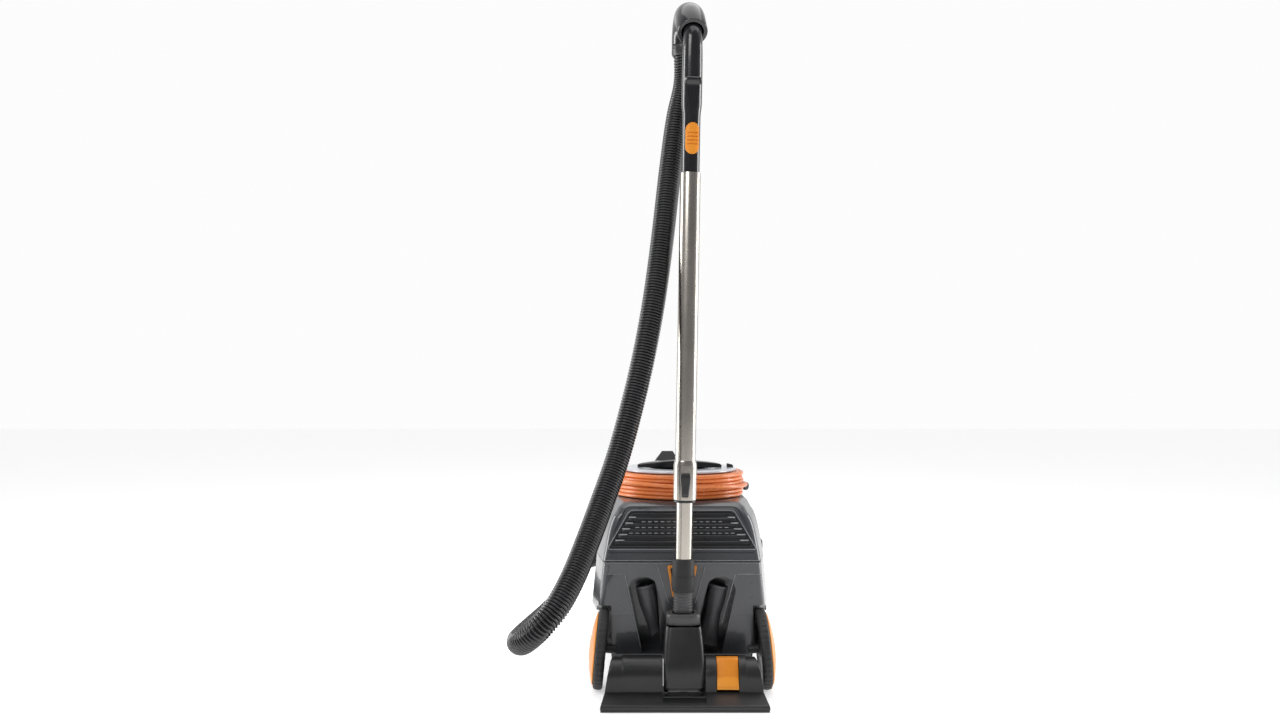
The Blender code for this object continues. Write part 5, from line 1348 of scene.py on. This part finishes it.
def make_parked_tube():
    wand = wand_place()
    low, high = 0.1445, 0.1780
    ribs = [(0.0140, low), (0.0155, low)]
    for k in range(6):
        z = low + 0.0022 + k * 0.0052
        ribs += [(0.0155, z), (0.0162, z + 0.0004), (0.0165, z + 0.0012), (0.0165, z + 0.0024),
                 (0.0162, z + 0.0032), (0.0155, z + 0.0036)]
    ribs += [(0.0155, high), (0.0140, high)]
    finish_piece(turned_ring("sleeve_ribbed", ribs, wand, 72), "collar", "root", "black_plastic",
                 "swivel_sleeve")
    low, high = 0.1785, 0.2350
    cuff = [(0.01465, low + 0.002), (0.0140, low + 0.002), (0.0140, low), (0.0178, low),
            (0.0186, low + 0.0006), (0.0190, low + 0.0020), (0.0190, high - 0.0036),
            (0.0186, high - 0.0018), (0.0172, high - 0.0003), (0.0165, high), (0.01465, high)]
    finish_piece(turned_ring("grip_cuff", cuff, wand, 72), "rubber", "root", "rubber", "rubber_cuff")
    tube = turned_ring("slim_tube", [(0.01305, 0.182), (0.01425, 0.182), (0.01425, 0.775),
                                     (0.01305, 0.775)], wand, 96)
    marks = [box("mark", (-0.0085, -0.02, z), (0.0085, -0.0120, z + 0.0022))
             for z in (0.2770, 0.2870, 0.2970, 0.3170)]
    ring = turned_ring("ring", [(0.0141, 0.260), (0.02, 0.260), (0.02, 0.33), (0.0141, 0.33)], None, 96)
    for mark in marks:
        mark.data.transform(wand)
    ring.data.transform(wand)
    grooves = join("marks", marks)
    carve(grooves, ring, operation="INTERSECT")
    carve(tube, grooves)
    finish_piece(tube, "steel", "root", "steel", "inner_tube")
    make_park_hook(wand)


def make_park_hook(wand):
    ring = [(0.0194, 0.186), (0.0198, 0.186), (0.0203, 0.1866), (0.0203, 0.2054), (0.0198, 0.206),
            (0.0194, 0.206)]
    hook = turned_ring("hook", ring, wand, 64)
    outline = [(0.0198, 0.186), (0.050, 0.186), (0.050, 0.174), (0.0575, 0.174), (0.058, 0.1745),
               (0.058, 0.198), (0.054, 0.204), (0.0198, 0.204)]
    tongue = loft("tongue", [[Vector((x, y, z)) for y, z in outline] for x in (-0.0065, 0.0065)], wand)
    carve(hook, tongue, operation="UNION")
    finish_piece(hook, "rubber", "root", "black_plastic", "park_hook")


def make_telescope():
    wand = wand_place()
    tube = [(0.0163, 0.340), (0.0175, 0.340), (0.0175, 0.8905), (0.0172, 0.8915), (0.0163, 0.8915)]
    finish_piece(turned_ring("wide_tube", tube, wand, 96), "steel", "wand_body", "steel", "outer_tube")
    ring = eased([(0.01465, 0.331), (0.0188, 0.331), (0.0188, 0.335), (0.01465, 0.335)], 0.0005)
    finish_piece(turned_ring("end_ring", ring, wand, 72), "black", "wand_body", "black_plastic",
                 "tube_end_ring")
    collar = [(0.01625, 0.3354), (0.0194, 0.3354), (0.0198, 0.3360), (0.0198, 0.3938), (0.0196, 0.3952),
              (0.0188, 0.3990), (0.0183, 0.4020), (0.0179, 0.4026), (0.0179, 0.3396), (0.01625, 0.3396)]
    finish_piece(turned_ring("collar_ring", collar, wand, 96), "steel", "wand_body", "steel",
                 "telescope_collar")
    front = -0.0202
    rings = []
    for z, half, proud in ((0.3410, 0.0056, 0.0012), (0.3425, 0.0063, 0.0034), (0.3450, 0.0065, 0.0046),
                           (0.3480, 0.0066, 0.0050), (0.3560, 0.0074, 0.0044), (0.3650, 0.0086, 0.0046),
                           (0.3740, 0.0095, 0.0050), (0.3780, 0.0094, 0.0047), (0.3805, 0.0088, 0.0036),
                           (0.3820, 0.0080, 0.0018)):
        corners = [(-half, front, 0.0004), (half, front, 0.0004), (half * 0.85, front - proud, 0.0012),
                   (-half * 0.85, front - proud, 0.0012)]
        limited = [(a, b, min(r, proud * 0.4)) for a, b, r in corners]
        rings.append([Vector((p.x, p.y, z)) for p in rounded(limited, 4)])
    button = loft("release_button", rings, wand)
    finish_piece(button, "black", "wand_latch_body", "black_plastic", "latch_button")


def make_handle():
    place = handle_place()
    pipe = 0.0155
    grip = pipe + 0.0020
    straight = [(0.862, pipe), (0.889, pipe), (0.8925, pipe), (0.915, pipe), (0.950, pipe), (0.985, pipe),
                (0.995, pipe + 0.0005), (1.003, grip - 0.0004), (1.010, grip), (1.030, grip), (1.050, grip),
                (1.075, grip), (1.095, grip - 0.0003), (1.106, 0.0168), (1.116, 0.0165)]
    path = [Vector((0, 0, z)) for z, _ in straight]
    radii = [r for _, r in straight]
    first = handle_elbow_path()[0]
    for share in (0.0, 0.45, 0.9):
        path.append(first.lerp(elbow_point(ELBOW_RISE), share))
        radii.append(0.0165)
    outer = tube_rings(path, radii, 64)
    inner = tube_rings(path, [pipe - 0.0022] * len(path), 64)
    shell = loop("grip_shell", outer + list(reversed(inner)))
    lip = [(-0.0145, 1.0515), (-0.0225, 1.0512), (-0.0240, 1.0495), (-0.0240, 1.0462), (-0.0222, 1.0440),
           (-0.0145, 1.0400)]
    rings = []
    for x, share in ((-0.0150, 0.20), (-0.0140, 0.62), (-0.0115, 0.95), (-0.0090, 1.0), (0.0090, 1.0),
                     (0.0115, 0.95), (0.0140, 0.62), (0.0150, 0.20)):
        rings.append([Vector((x, -0.0145 + (y + 0.0145) * share, z)) for y, z in lip])
    carve(shell, loft("lip", rings), operation="UNION")
    scoop = []
    for z, half, depth in ((1.0460, 0.0138, 0.0004), (1.0400, 0.0138, 0.0036), (1.030, 0.0126, 0.0038),
                           (1.015, 0.0098, 0.0030), (1.002, 0.0072, 0.0018), (0.9905, 0.0045, 0.0004)):
        y = -0.0175 + depth
        scoop.append([Vector((x, yy, z)) for x, yy in ((-half, -0.03), (half, -0.03), (half * 0.82, y),
                                                       (-half * 0.82, y))])
    carve(shell, loft("scoop", scoop))
    shell.data.transform(place)
    finish_piece(shell, "gloss_black", "wand_body", "black_plastic", "handle_shell", angle=30)
    make_air_slider(place)
    make_handle_elbow(place)


def make_air_slider(place):
    low, high = 0.9215, 0.9750
    inner = 0.0159
    ring = [(inner, low - 0.005), (inner + 0.0022, low - 0.005), (inner + 0.0022, high + 0.005),
            (inner, high + 0.005)]
    slider = turned_ring("vent_slider", ring, None, 128)
    half, middle = 0.0115, (low + high) / 2
    straight = (high - low) / 2 - half
    outline = []
    for centre, start in ((middle + straight, 0), (middle - straight, 180)):
        for k in range(17):
            t = math.radians(start + 11.25 * k)
            outline.append((half * math.cos(t), centre + half * math.sin(t)))
    carve(slider, prism_y("mask", outline, -0.03, -0.006), operation="INTERSECT")
    grooves = []
    for k in range(4):
        z = middle - 0.0095 + k * 0.0063
        bend = [(-0.0085, -0.030), (0.0085, -0.030), (0.0085, -0.0148), (0.0045, -0.0164), (0, -0.0169),
                (-0.0045, -0.0164), (-0.0085, -0.0148)]
        grooves.append(loft("groove", [[Vector((x, y, z + d)) for x, y in bend] for d in (-0.0012, 0.0012)]))
    carve(slider, join("grooves", grooves))
    slider.data.transform(place)
    finish_piece(slider, "accent", "air_slider_body", "accent", "air_slider", angle=35)


def make_handle_elbow(place):
    """The bent sleeve over the handle's upper end, tapering towards the hose."""
    path = handle_elbow_path(28)
    last = len(path) - 1
    radii = [0.0252, *[0.026 - 0.0022 * k / last for k in range(last + 1)]]
    mouth = path[0] + (path[0] - path[1]).normalized() * -0.0012
    path = [path[0], mouth, *path[1:]]
    rings = tube_rings(path, radii, 64) + list(reversed(tube_rings(path, [0.0195] * len(path), 64)))
    elbow = loop("elbow_shell", rings)
    elbow.data.transform(place)
    finish_piece(elbow, "gloss_black", "wand_body", "black_plastic", "handle_elbow", angle=40)


LOOKS = {}


def main():
    LOOKS.update(make_looks())
    make_camera()
    make_hose()
    make_power_cord()
    make_studio()
    make_tub()
    make_park_slot_frame()
    make_lid()
    make_grille()
    top = make_drum_and_cap()
    make_carry_handle(top)
    make_foot_switch(top)
    make_side_latches()
    make_insides()
    make_inlet()
    make_rear_wheels()
    make_castors()
    make_nozzles()
    make_floor_tool()
    make_neck()
    make_parked_tube()
    make_telescope()
    make_handle()


main()
